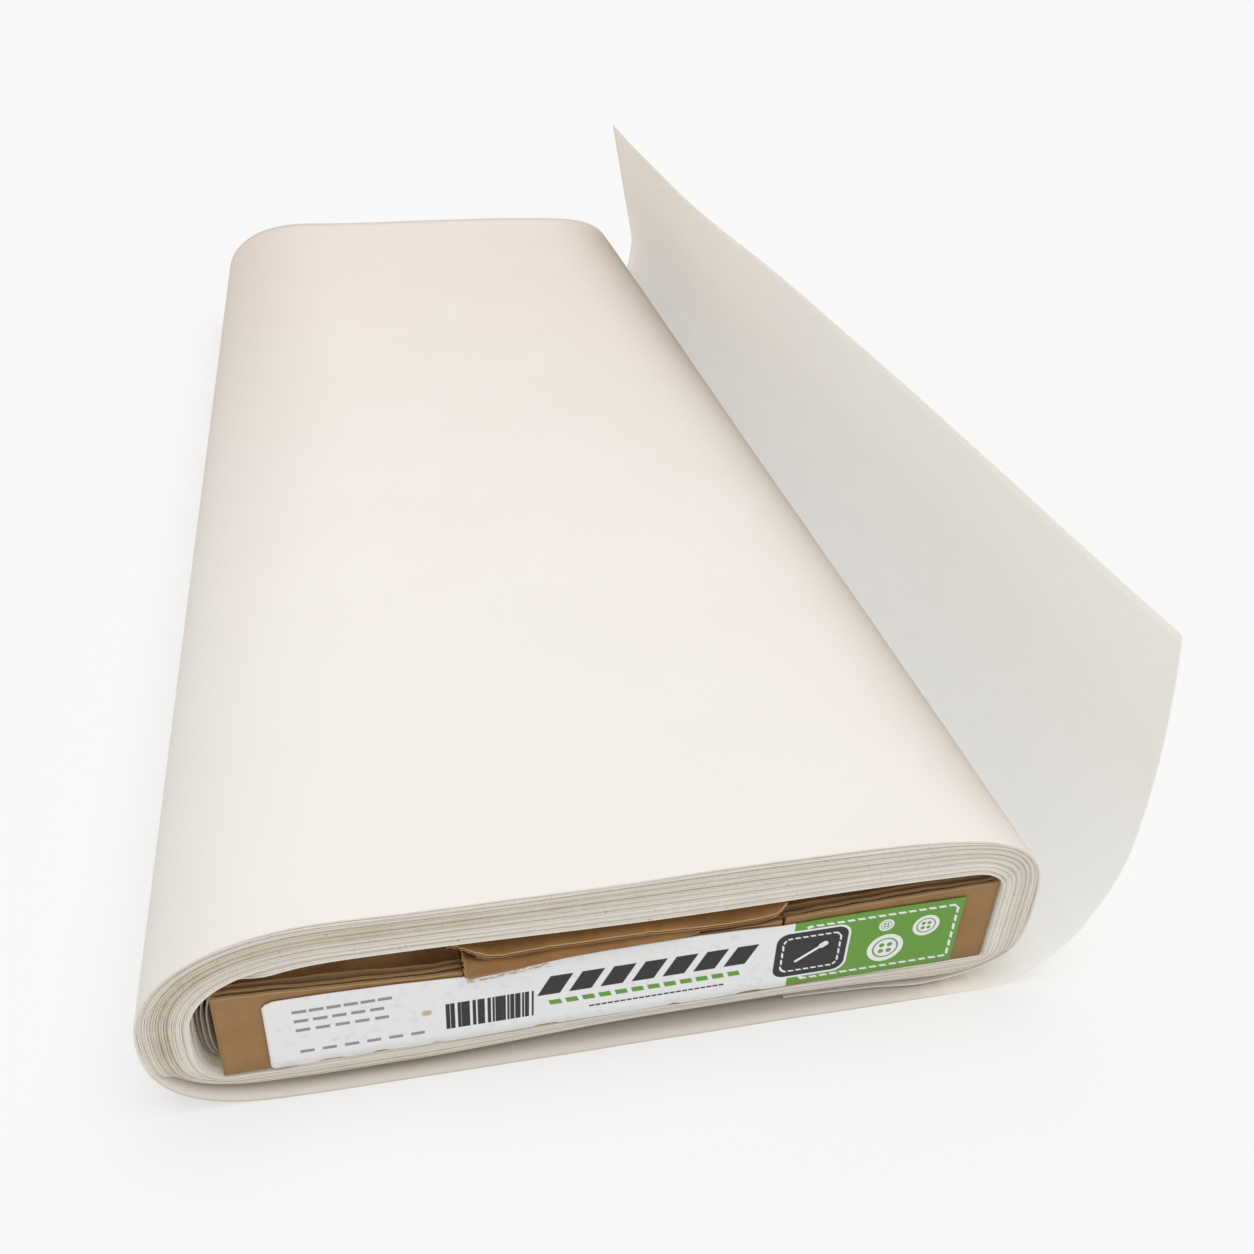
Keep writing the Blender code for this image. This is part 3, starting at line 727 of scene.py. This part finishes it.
def corner_arc(x, z, sizes, start, steps):
    """A quarter turn of a superellipse about a middle, counterclockwise from the angle start."""
    radius_x, radius_z, power = sizes
    angle = np.linspace(start, start + math.pi / 2, steps + 1)
    cosine, sine = np.cos(angle), np.sin(angle)
    return np.column_stack((x + radius_x * np.sign(cosine) * np.abs(cosine) ** (2 / power),
                            z + radius_z * np.sign(sine) * np.abs(sine) ** (2 / power)))


def straight(start, end, steps):
    """Points from one place to another, without the first."""
    return mix(np.asarray(start), np.asarray(end), np.linspace(0, 1, steps + 1)[1:, None])


def wave_at(x, wave):
    height, crest, wavelength = wave
    return height * np.cos(2 * math.pi * (x - crest) / wavelength)


def turn_outline(share, slack=0.0, loosened=False):
    """One turn from the seam under the roll, counterclockwise. Its share is 0 beside the board.

    Slack moves its left side in. The wound turns are loosened outwards, up to the last turn,
    along their left side and below, as far as the seam.
    """
    side = {name: mix(inner, outer, share) for name, (inner, outer) in SIDES.items()}
    corner = {name: mix(np.array(inner), np.array(outer), share)
              for name, (inner, outer) in CORNERS.items()}
    left = side["left"] + slack
    low_right = corner_arc(side["right"] - corner["low_right"][0],
                           side["bottom_right"] + corner["low_right"][1],
                           corner["low_right"], 1.5 * math.pi, 18)
    top_right = corner_arc(side["right"] - corner["top_right"][0],
                           side["top"] - corner["top_right"][1], corner["top_right"], 0.0, 22)
    top_left = corner_arc(left + corner["top_left"][0],
                          side["top"] - corner["top_left"][1],
                          corner["top_left"], 0.5 * math.pi, 22)
    low_left = corner_arc(left + corner["low_left"][0],
                          side["bottom_left"] + corner["low_left"][1],
                          corner["low_left"], math.pi, 18)
    seam = mix(low_left[-1], low_right[0], (SEAM - low_left[-1][0]) / (low_right[0][0] - low_left[-1][0]))
    outline = np.concatenate((
        seam[None], straight(seam, low_right[0], 4), low_right[1:],
        straight(low_right[-1], top_right[0], 2), top_right[1:],
        straight(top_right[-1], top_left[0], 26), top_left[1:],
        straight(top_left[-1], low_left[0], 1), low_left[1:],
        straight(low_left[-1], seam, 10)))
    x, z = outline.T
    raised = np.clip((z - WAVE_FROM * side["top"]) / (side["top"] * (1 - WAVE_FROM)), 0.0, None)
    outline[:, 1] = z + raised * mix(wave_at(x, INNER_WAVE), wave_at(x, OUTER_WAVE), share)
    if loosened:
        on_left = (x < 0.1) * (1 - ease(z, LOOSE_CORNER[1], LOOSE_TOP)) * ease(-x, -0.06, -0.03)
        below = (1 - ease(x, SEAM - 0.050, SEAM - 0.008)) * (1 - ease(z, 0.010, 0.024))
        outline[:, 0] -= LOOSENED_LEFT * share ** 2 * on_left
        outline[:, 1] -= LOOSENED_BELOW * share ** 2 * below
    return outline


def near_setback(x, z):
    """How far the turns' near edges lie behind the last turn's edge."""
    low = np.clip((SETBACK_HEIGHT - z) / SETBACK_HEIGHT, 0.0, None)
    return SETBACK_HIGH + low * (np.interp(x, SETBACK_X, SETBACK_LOW) - SETBACK_HIGH)


def along_turns(position, each, size):
    """Random numbers that change smoothly along the spiral, each times in a turn."""
    values = chance.normal(0.0, size, TURNS * each + 2)
    return np.interp(position * each, np.arange(len(values)), values)


def make_wound_turns():
    """One long sheet, wound in a spiral from the board outwards."""
    outlines = []
    for turn in range(TURNS + 1):
        bunched = turn + BUNCHING * math.sin(2 * math.pi * turn / BUNCH_TURNS)
        slack = SLACK[turn] if turn < len(SLACK) else 0.0
        outlines.append(turn_outline(OUTERMOST * bunched / TURNS, slack, loosened=True))
    steps = len(outlines[0]) - 1
    drift = np.linspace(0.0, 1.0, steps + 1)[:-1, None]
    path = np.concatenate([mix(inner[:-1], outer[:-1], drift)
                           for inner, outer in zip(outlines, outlines[1:])] + [outlines[-1][:1]])
    room = np.concatenate([np.linalg.norm(outer[:-1] - inner[:-1], axis=1)
                           for inner, outer in zip(outlines, outlines[1:])] + [[0.0003]])
    position = np.arange(len(path)) / steps
    x, z = path.T
    length = np.concatenate(([0.0], np.cumsum(np.linalg.norm(np.diff(path, axis=0), axis=1))))
    share = position / TURNS

    # Bands of turns that stand out like soft ridges, with narrow furrows between them
    phase = 2 * math.pi * (position % 1.0)
    swing = position / BAND_TURNS + 0.42 + 0.22 * np.sin(phase + 0.6) + 0.10 * np.cos(2 * phase)
    ridge = np.abs(np.sin(math.pi * swing)) ** 0.9
    below = 1 - ease(z, 0.007, 0.014)
    beside = ease(-x, -0.030, -0.016)
    first = 1 - ease(position, 3.2, 4.4)
    last = ease(share, 0.70, 0.90)
    bands = BAND_DEPTH * (1 - ridge)
    bands += LONG_BAND_DEPTH * np.sin(2 * math.pi * position / LONG_BAND_TURNS + 1.7 * np.cos(phase))
    uneven = along_turns(position, 1, UNEVEN_TURNS) + along_turns(position, 9, UNEVEN_EDGE)
    uneven += below * along_turns(position, 12, UNEVEN_BELOW)
    near = near_setback(x, z) + 0.00020 + bands + uneven
    near = np.maximum(near, near_setback(x, z) + 0.00002)
    near += SLACK_SETBACK * first * beside + LOWER_SETBACK * below * last
    far = CLOTH_WIDTH - FAR_SETBACK - bands - along_turns(position, 2, UNEVEN_FAR)
    wobble = along_turns(position, 10, WOBBLE)
    outwards = path - SECTION_MIDDLE
    outwards /= np.linalg.norm(outwards, axis=1)[:, None]
    sag = np.exp(-((x - CORNER_SAG_PLACE) / CORNER_SAG_WIDTH) ** 2) * ease(z, 0.022, 0.034)
    sag *= CORNER_SAG * np.clip(1 - share / 0.7, 0.0, 1.0)

    rows = []
    for place, wobbling, sagging in TURN_ROWS:
        moved = path + outwards * (wobble * wobbling)[:, None]
        rows.append(np.column_stack((moved[:, 0], mix(near, far, place), moved[:, 1] - sag * sagging)))
    points = np.array(rows)
    form = bmesh.new()
    verts = add_grid(form, points)
    map_grid(form, verts, "cloth", np.tile(length, len(rows)), points[:, :, 1].ravel())
    piece = add_piece("wound_turns", form, TURNS_FINISH, "wound_cloth")
    leftness = 1 - ease(x, 0.020, 0.160)
    tan = np.exp(-((share - 0.64) / 0.20) ** 2) * (0.22 + 0.61 * leftness)
    tone_and_shade = 0.06 + mix(tan, 0.28 + 0.60 * ease(share, 0.35, 0.75), below)
    # More beige in the furrows between the bands, painted shade in those creases, and in slow long bands
    tone_and_shade += 0.16 * (1 - ridge) + 0.08 * np.sin(2 * math.pi * position / 6.1 + 0.7 * np.sin(phase))
    # Random change along the turns, and the first turns beside the board made beige: painted shade in that
    # recess
    tone_and_shade += along_turns(position, 3, 0.05) + 0.6 * first * beside
    # Darker at the outermost turns under the board, partly soil and partly painted shade in the furrow
    # there, and on the first turns beside the board, painted shade in that recess
    soil_and_shade = np.maximum(below * ease(share, 0.62, 0.88) * ease(x, 0.015, 0.050), 0.85 * first * beside)
    soil_and_shade *= 0.85 + along_turns(position, 12, 0.15)
    edge = ease(-points[:, :, 1], -0.020, -0.008)
    mark(piece, "tone_and_shade", np.clip(np.tile(tone_and_shade, len(rows)), 0.0, 1.0))
    mark(piece, "soil_and_shade", np.clip((edge * soil_and_shade[None, :]).ravel(), 0.0, 1.0))
    fullness = np.clip(TURN_FULLNESS * room / TURN_THICKNESS, 0.3, 1.0)
    thicken(piece, TURN_THICKNESS, weights=np.tile(fullness, len(rows)))


def loose_row(along):
    """The loose end's sizes at one place, on a smooth curve through the rows of the table."""
    table = np.array(LOOSE_ROWS)
    return dict(zip(LOOSE_COLUMNS, smooth_through(table[:, 0], table, along)))


def smooth_through(knots, values, place):
    """A smooth curve through the values, with the slope at each from its neighbours."""
    slopes = np.gradient(values, knots, axis=0)
    index = min(max(int(np.searchsorted(knots, place)) - 1, 0), len(knots) - 2)
    gap = knots[index + 1] - knots[index]
    t = (place - knots[index]) / gap
    return ((2 * t ** 3 - 3 * t ** 2 + 1) * values[index] + (t ** 3 - 2 * t ** 2 + t) * gap * slopes[index]
            + (-2 * t ** 3 + 3 * t ** 2) * values[index + 1] + (t ** 3 - t ** 2) * gap * slopes[index + 1])


def last_section(along):
    """The last turn from the seam: up the right side, over the top, down, under, and up again."""
    around = turn_outline(1.0)
    top = around[:int(np.argmin(around[:, 0])) + 1].copy()
    falling = (top[:, 0] < 0.1) & (top[:, 1] > LOOSE_CORNER[1])
    top[:, 0] -= falling * SIDES["left"][1] * (1 - ease(top[:, 1], LOOSE_CORNER[1], LOOSE_TOP))
    wave = LENGTH_WAVE * math.sin(2 * math.pi * LENGTH_WAVES * along / CLOTH_WIDTH)
    top[:, 1] += wave * ease(top[:, 1], LENGTH_WAVE_FROM - 0.01, LENGTH_WAVE_FROM + 0.008)
    row = loose_row(along)
    low_left = corner_arc(*LOOSE_CORNER[:2], LOOSE_CORNER, math.pi, 18)
    angle = np.linspace(0.0, math.pi / 2, 24)[1:]
    curl = np.column_stack((mix(row["lift_off"], row["reach"], np.sin(angle)),
                            row["reach_height"] * (1 - np.cos(angle))))
    share = np.linspace(0.0, 1.0, 18)[1:]
    rise = np.column_stack((mix(row["reach"], row["top_x"], share ** row["bow"]),
                            mix(row["reach_height"], row["top_height"], share)))
    floor = straight(low_left[-1], (row["lift_off"], 0.0), 30)
    return np.concatenate((top, low_left[1:], floor, curl, rise))


def even_path(points, count):
    """The same path, with its points evenly spaced."""
    length = np.concatenate(([0.0], np.cumsum(np.linalg.norm(np.diff(points, axis=0), axis=1))))
    places = np.linspace(0.0, length[-1], count)
    return np.column_stack([np.interp(places, length, column) for column in points.T])


def make_last_turn():
    """The outermost turn and the loose end, as one sheet from its far edge to its near one."""
    places = np.concatenate((np.linspace(CLOTH_WIDTH, 0.0, LENGTH_ROWS + 1)[:-1], NEAR_ROWS))
    sections, lengths = [], []
    for along in places:
        path = even_path(last_section(along), SECTION_POINTS)
        for _ in range(3):
            path[1:-1] = (path[:-2] + 2 * path[1:-1] + path[2:]) / 4
        path[:, 1] = np.maximum(path[:, 1], 0.0)
        step = np.linalg.norm(path[1] - path[0])
        sections.append(path)
        lengths.append(step * np.arange(SECTION_POINTS))
    sections, lengths = np.array(sections), np.array(lengths)
    along = places[:, None]
    x, z = sections[:, :, 0], sections[:, :, 1]
    share = np.linspace(0.0, 1.0, SECTION_POINTS)[None, :]
    standing = ease(lengths, lengths[0, -1] - STANDING_LENGTH, lengths[0, -1] - STANDING_FULL)
    on_roll = ease(z, 0.030, 0.050) * (1 - standing)

    # Soft relief: long swells on the roll's top, and shallow waves in the standing part
    swell = np.sin(along * 31 + 1.5 * np.sin(x * 27)) * np.sin(x * 38 + 2.1 * np.sin(along * 13))
    swell = SWELLS[0] * swell + SWELLS[1] * np.sin(along * 83 + x * 41) * np.sin(x * 66 - along * 22)
    waves = WAVES[0] * np.sin(along * 17 + 1.1) * np.sin(z * 34 + along * 6)
    waves += WAVES[1] * np.sin(along * 43 + z * 29)
    down_path = np.gradient(sections, axis=1)
    down_path /= np.linalg.norm(down_path, axis=2)[:, :, None]
    outwards = np.stack((down_path[:, :, 1], -down_path[:, :, 0]), axis=2)
    sections = sections + outwards * (swell * on_roll + waves * standing)[:, :, None]

    lower_left = ease(-z, -0.045, -0.012) * (x < 0.1)
    under = (share > 0.5) * (z < 0.02)
    near = near_setback(x, z) * (1 - np.maximum(lower_left, under)) * (1 - standing)
    near = near * (share > 0.05) + near_setback(x, z) * (share <= 0.05)
    near = near + 0.00012 * np.sin(lengths * 57) + 0.00008 * np.sin(lengths * 143 + 1)
    near = np.maximum(near, 0.0)
    y = mix(near, CLOTH_WIDTH - near, along / CLOTH_WIDTH)
    points = np.stack((sections[:, :, 0], y, sections[:, :, 1]), axis=2)
    form = bmesh.new()
    verts = add_grid(form, points)
    map_grid(form, verts, "cloth", lengths.ravel() + CLOTH_BEFORE, y.ravel())
    piece = add_piece("last_turn", form, CLOTH, "loose_end")
    for material in STANDING_CLOTH_PAINTED_LIGHT:
        piece.data.materials.append(material)
    alone = (x[-1] - STANDING_FROM) / (STANDING_TO - STANDING_FROM) * (share[0] > 0.5)
    step = np.clip(np.ceil(alone * STANDING_STEPS), 0, STANDING_STEPS).astype(int)
    for face in piece.data.polygons:
        face.material_index = int(step[min(vert % SECTION_POINTS for vert in face.vertices)])
    # Painted shade in the furrow under the roll, darker inwards and paler towards the near edge
    soil_and_shade = (0.10 + 0.30 * ease(y, 0.0008, 0.0040)) * (1 - ease(y, 0.010, 0.030))
    soil_and_shade = soil_and_shade * (share > 0.5) * (1 - ease(z, 0.002, 0.012)) * (1 - ease(x, 0.175, 0.230))
    # Painted contact shadow along the near edge's rim, under the roll
    soil_and_shade[-1] += 0.30 * under[-1] * (1 - ease(x[-1], 0.190, 0.220))
    # Painted shade on the roll's left side, darker towards the far end
    soil_and_shade += (1 - under) * (0.03 + 0.17 * ease(y, 0.0, 0.45)) * ease(-x, -0.060, -0.012)
    mark(piece, "soil_and_shade", soil_and_shade.ravel())
    mark(piece, "height", z.ravel())
    thicken(piece, LAST_THICKNESS)


# Board

def board_height(x, above_top=0.0):
    return BOARD_TOP + BOARD_SLOPE * (x - BOARD_LEFT) + above_top


def board_floor(x):
    return BOARD_BOTTOM + BOARD_SLOPE * (x - BOARD_LEFT)


def ripple(x, size, seed):
    """A few waves of different lengths, for an edge that was cut or torn by hand."""
    waves = ((61.0, 0.50), (143.0, 0.28), (331.0, 0.14), (817.0, 0.08))
    return size * sum(share * np.sin(x * rate * 2 + seed * rate) for rate, share in waves)


def columns_with(start, end, pitch, *extra):
    """Places from start to end about a pitch apart, with some more exact ones."""
    even = np.linspace(start, end, max(int(round((end - start) / pitch)), 2) + 1)
    return np.unique(np.concatenate([even, [value for value in extra if start < value < end]]))


def ply_top(x, shift, size, seed, slit):
    """Height of an end ply's top: notched for the tab, and a little wavy."""
    top = np.interp(x, PLY_TOP_X, PLY_TOP_Z) + shift + ripple(x, size, seed)
    notched = (x >= NOTCH_LEFT) & (x <= NOTCH_RIGHT)
    top = np.where(notched, top - NOTCH_DEPTH * np.clip((0.130 - x) / 0.060, 0.4, 1.0), top)
    if slit:
        cut = (x >= NOTCH_RIGHT - SLIT_WIDTH) & (x <= NOTCH_RIGHT)
        top = np.where(cut, board_height(x, -SLIT_DEPTH), top)
    return top


def upright(x, y, floor, top, rows):
    """A standing sheet's grid, from its lower edge to its top, with a close row under the top."""
    shares = np.linspace(0.0, 1.0, rows)[:, None]
    if rows > 2:
        shares[-2] = 0.985
    z = mix(floor[None, :], top[None, :], shares)
    return np.stack((np.broadcast_to(x, z.shape), np.broadcast_to(y, z.shape), z), axis=2)


def add_board(node, form, material, raw):
    """Adds a piece of cardboard in a node's place, with its raw edges marked."""
    piece = add_piece(f"{node}_board", form, material, node)
    mark(piece, "raw", raw)
    return piece


def make_end_ply(node, front, shift, size, seed, slit=False):
    """A corrugated ply: two papers, and the fluted one between them a little lower."""
    x = columns_with(BOARD_LEFT, BOARD_RIGHT, 0.0012, NOTCH_LEFT - HAIR, NOTCH_LEFT,
                     NOTCH_RIGHT - SLIT_WIDTH - HAIR, NOTCH_RIGHT - SLIT_WIDTH,
                     NOTCH_RIGHT, NOTCH_RIGHT + HAIR)
    top, floor = ply_top(x, shift, size, seed, slit), board_floor(x)
    form = bmesh.new()
    raw = []
    for y, lower in ((front, 0.0), (front + PLY_SHOWN - LINER, 0.00015)):
        grid = upright(x, y + 0.00004 * np.sin(x * 700 + seed), floor, top - lower, 6)
        add_grid(form, grid)
        raw.append(np.repeat([0.0, 0.8], [5 * len(x), len(x)]))
    fine = np.linspace(BOARD_LEFT + RAW_DEPTH, BOARD_RIGHT - RAW_DEPTH, 620)
    flutes = (PLY_SHOWN / 2 - LINER * 1.5) * np.sin(2 * math.pi * fine / FLUTE_PITCH + seed)
    middle = upright(fine, front + PLY_SHOWN / 2 - LINER / 2 + flutes, board_floor(fine) + RAW_DEPTH,
                     ply_top(fine, shift, size, seed, slit) - RAW_DEPTH, 2)
    add_grid(form, middle)
    raw.append(np.repeat([0.0, 0.55], len(fine)))
    piece = add_board(node, form, PANEL_FINISH, np.concatenate(raw))
    thicken(piece, LINER, even=False)


def make_folded_end():
    """The innermost ply and the fold behind it, whose top shows as a shaded floor."""
    front = PANEL_FRONT + 2 * (PLY + PLY_GAP)
    x = columns_with(BOARD_LEFT, BOARD_RIGHT, 0.0025, NOTCH_LEFT - HAIR, NOTCH_LEFT,
                     NOTCH_RIGHT, NOTCH_RIGHT + HAIR)
    form = bmesh.new()
    loops = []
    pit = PIT_DEPTH * np.exp(-((x - PIT_PLACE) / PIT_WIDTH) ** 2)
    for back, sag, rise in (*FOLD_ROWS, (FOLD_DEPTH - front, FOLD_SAG, 1.0)):
        top = mix(ply_top(x, -0.0002, 0.0004, 1.9, False), board_height(x), rise) - sag
        top -= pit * (sag > 0.0005)
        upper = [form.verts.new(at(a, front + back, b)) for a, b in zip(x[::-1], top[::-1])]
        lower = [form.verts.new(at(a, front + back, board_floor(a))) for a in (BOARD_LEFT, BOARD_RIGHT)]
        ring = lower + upper
        loops.append([form.edges.new(pair) for pair in zip(ring, ring[1:] + ring[:1])])
    for loop, following in zip(loops, loops[1:]):
        bmesh.ops.bridge_loops(form, edges=loop + following)
    for loop in (loops[0], loops[-1]):
        bmesh.ops.contextual_create(form, geom=loop)
    bmesh.ops.recalc_face_normals(form, faces=form.faces)
    raw = [0.6 if abs(vert.co.y - (NEAR + front)) < 0.0001 and vert.co.z > 0.028 else 0.0
           for vert in form.verts]
    add_board("end_ply_inner", form, BOARD_FINISH, raw)


def make_lock_tab():
    """A strip folded down in front of the end panel, torn at its left end and along its lower edge."""
    x = columns_with(TAB_LEFT, TAB_RIGHT, FINE_PITCH)
    top = np.interp(x, TAB_X, TAB_TOP_Z) + ripple(x, 0.00012, 0.7)
    low = np.interp(x, TAB_X, TAB_LOW_Z) + ripple(x, 0.00025, 2.3)
    low = np.minimum(low + 0.0006 * (1 - ease(x, TAB_LEFT, TAB_LEFT + TAB_CORNER)), top - 0.0003)
    begin = np.arccos(np.clip(1 - (top - low - 0.0001) / TAB_BEND, 0.0, 1.0))
    form = bmesh.new()
    raw = []
    for depth in (0.0, FLAP_PLY - LINER):
        bend = []
        for part in np.linspace(1.0, 0.0, 8):
            angle = begin * part
            bend.append(np.column_stack((
                x, TAB_BEND * (1 - np.sin(angle)) - TAB_PROUD + depth * np.sin(angle),
                top - TAB_BEND * (1 - np.cos(angle)) - depth * np.cos(angle))))
        rows = [np.column_stack((x, bend[0][:, 1], mix(low, bend[0][:, 2], lift))) for lift in (0.0, 0.5)]
        rows += bend
        rows.append(np.column_stack((x, np.full_like(x, TAB_BACK), top - depth)))
        grid = np.array(rows)
        grid[:, 0, 0] += 0.0003 * np.sin(np.arange(len(rows)) * 1.9)
        add_grid(form, grid)
        marked = np.zeros(grid.shape[:2])
        marked[0] = 0.5
        marked[:, 0] = 0.6
        raw.append(marked.ravel())
    piece = add_board("lock_tab", form, FLAP_FINISH, np.concatenate(raw))
    thicken(piece, LINER, even=False)


def flap_front(x):
    """Height of the upper flap's front edge."""
    return np.interp(x, FRONT_X, FRONT_Z) + ripple(x, 0.00012, 1.3)


def add_flap(node, rows, rawness):
    """Two papers and a fluted one between them. The first row is their raw near edge."""
    surface = np.array(rows)
    form = bmesh.new()
    raw = []
    for depth, inset in ((0.0, False), (FLAP_PLY / 2 - LINER / 2, True), (FLAP_PLY - LINER, False)):
        layer = surface.copy()
        layer[:, :, 2] -= depth
        if inset:
            layer[0, :, 1] += FLAP_RAW_DEPTH
            layer[1, :, 1] += 0.8 * FLAP_RAW_DEPTH
            layer = layer[:, 1:-1]
        add_grid(form, layer)
        marked = np.zeros(layer.shape[:2])
        marked[0] = 0.2 if inset or depth else 1.0
        raw.append(rawness * marked.ravel())
    piece = add_board(node, form, FLAP_FINISH, np.concatenate(raw))
    thicken(piece, LINER, even=False)


def make_flap_liner():
    x = columns_with(LINER_LEFT, LINER_RIGHT, FINE_PITCH)
    top = flap_front(x) - FLAP_PLY - 0.00015
    back_top = board_height(x, LINER_RISE + TAB_PLY)
    front = LINER_FRONT + 0.0002 + ripple(x, 0.00025, 5.2)
    rows = []
    for back in (0.0, 0.0002, 0.0012, 0.0035, 0.0070, TAB_BACK):
        share = ease(back, 0.0, TAB_BACK)
        rows.append(np.column_stack((x, np.maximum(front + back, back), mix(top, back_top, share))))
    add_flap("flap_liner", rows, 0.5)


def make_top_flap():
    """The tongue, torn and curled up at its left end and curled at its right, and the flap behind it."""
    x = columns_with(FLAP_LEFT, FLAP_RIGHT, FINE_PITCH)
    front = 0.0001 + ripple(x, 0.0002, 4.4) + TORN_BACK * (1 - ease(x, FLAP_LEFT, TORN_TO))
    front += TORN_TEETH * np.sin(x * 6100) * (1 - ease(x, FLAP_LEFT, TORN_TO + 0.0010))
    front -= BULGE_OUT * np.exp(-((x - BULGE_PLACE) / BULGE_WIDTH) ** 2)
    front += RIGHT_BACK * ease(x, RIGHT_FROM, FLAP_RIGHT)
    back_top = board_height(x, FLAP_RISE + TAB_PLY)
    rows = []
    for back in (0.0, 0.0002, 0.0012, 0.0030, 0.0055, 0.0085, CURL_BACK):
        height = mix(flap_front(x), back_top, ease(back, 0.0, CURL_BACK))
        rows.append(np.column_stack((x, front + back, height)))
    for y in (FOLD_DEPTH + 0.0014, 0.1, FLAP_BACK):
        rows.append(np.column_stack((x, np.full_like(x, y), back_top)))
    add_flap("top_flap", rows, 1.0)


def worn_corner(from_corner, width):
    """1 at a corner that is rounded off, down to 0 where its edge is straight again."""
    return 1 - np.sqrt(np.clip(1 - (1 - np.clip(from_corner / width, 0, 1)) ** 2, 0, 1))


def make_label():
    """Thin paper, with its two left corners rounded off, the upper one by a tear."""
    x = columns_with(0.0, LABEL_WIDTH, 0.0008)
    lower = np.full_like(x, 0.0001)
    place = x + LABEL_LEFT
    out, into = LABEL_GAP_ENDS
    for start, end in LABEL_GAPS:
        begun = ease(place, start - out, start + into)
        lower += LABEL_GAP * begun * (1 - ease(place, end - into, end + out))
    upper = LABEL_HEIGHT + np.interp(place, LABEL_WAVE_X, LABEL_WAVE_Z)
    upper -= LABEL_CORNERS[0] * worn_corner(x, 0.0022)
    upper -= 0.0004 * np.exp(-((x - 0.0012) / 0.0008) ** 2)
    lower += LABEL_CORNERS[1] * worn_corner(x, 0.0010)
    lower += ripple(x, 0.00012, 0.4) * (x > 0.002) * (LABEL_WIDTH - x > 0.002)
    grid = upright(x, PANEL_FRONT - PLY_GAP - LABEL_THICKNESS, lower, upper, 9)
    flat_x, flat_z = grid[:, :, 0].copy(), grid[:, :, 2].copy()
    grid[:, :, 0] += LABEL_LEFT
    grid[:, :, 2] += LABEL_BOTTOM + LABEL_SLOPE * flat_x
    form = bmesh.new()
    verts = add_grid(form, grid)
    across = (flat_x - LABEL_WIDTH / 2) / MM
    up = (flat_z - LABEL_HEIGHT / 2) / MM
    map_grid(form, verts, "label", across.ravel(), up.ravel())
    piece = add_piece("label_paper_sheet", form, LABEL_FINISH, "label")
    thicken(piece, LABEL_THICKNESS)


def finish_node(name, material):
    """Gives a node of the frame its finish."""
    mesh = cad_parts[name].data
    mesh.materials.clear()
    mesh.materials.append(material)


# Camera, floor and light

CAMERA_PLACE = (-0.060816, -0.44115, 0.24989)
CAMERA_LENS = 35.706
CAMERA_YAW, CAMERA_PITCH, CAMERA_ROLL = 0.2499, 0.5850, -0.0546
FLOOR_HALF_WIDTH = 4.0
FLOOR_DROP = 0.0002              # how far the floor lies below the roll
WORLD_STRENGTH = 0.54
OVERHEAD_STRENGTH = 1.63
OVERHEAD_SPREAD = 60             # degrees
OVERHEAD_TOWARDS = (-0.16, 0.10, -1.0)


def make_camera():
    forward = Vector((math.sin(CAMERA_YAW) * math.cos(CAMERA_PITCH),
                      math.cos(CAMERA_YAW) * math.cos(CAMERA_PITCH), -math.sin(CAMERA_PITCH)))
    level = Vector((math.cos(CAMERA_YAW), -math.sin(CAMERA_YAW), 0.0))
    down = forward.cross(level)
    cosine, sine = math.cos(CAMERA_ROLL), math.sin(CAMERA_ROLL)
    right = cosine * level + sine * down
    down = -sine * level + cosine * down
    data = bpy.data.cameras.new("camera")
    data.lens = CAMERA_LENS
    data.sensor_width = 36.0
    data.clip_start = 0.01
    camera = bpy.data.objects.new("camera", data)
    turned = Matrix((right, -down, -forward)).transposed().to_4x4()
    camera.matrix_world = Matrix.Translation(CAMERA_PLACE) @ turned
    bpy.context.scene.collection.objects.link(camera)
    bpy.context.scene.camera = camera


def make_floor():
    form = bmesh.new()
    bmesh.ops.create_grid(form, x_segments=1, y_segments=1, size=FLOOR_HALF_WIDTH)
    bmesh.ops.translate(form, verts=form.verts, vec=(0.0, 0.0, -FLOOR_DROP))
    make_object("floor", form, floor_material())


def make_light():
    """Pale light from all round, and a large soft one overhead, a little right of the roll."""
    world = bpy.data.worlds.new("studio")
    world.use_nodes = True
    background = world.node_tree.nodes["Background"]
    background.inputs["Color"].default_value = (1.0, 1.0, 1.0, 1.0)
    background.inputs["Strength"].default_value = WORLD_STRENGTH
    bpy.context.scene.world = world
    data = bpy.data.lights.new("overhead", "SUN")
    data.energy = OVERHEAD_STRENGTH
    data.angle = math.radians(OVERHEAD_SPREAD)
    light = bpy.data.objects.new("overhead", data)
    light.rotation_mode = "QUATERNION"
    light.rotation_quaternion = Vector(OVERHEAD_TOWARDS).to_track_quat("-Z", "Y")
    bpy.context.scene.collection.objects.link(light)
    bpy.context.scene.view_settings.view_transform = "Standard"


make_camera()
make_floor()
make_light()
make_wound_turns()
make_last_turn()
make_end_ply("end_panel", PANEL_FRONT, 0.0, 0.00010, 0.0, slit=True)
make_end_ply("end_ply_middle", PANEL_FRONT + PLY + PLY_GAP, -0.0004, 0.0005, 0.4)
make_folded_end()
make_lock_tab()
make_flap_liner()
make_top_flap()
make_label()
finish_node("board_core", BOARD_FINISH)
finish_node("far_panel", BOARD_FINISH)
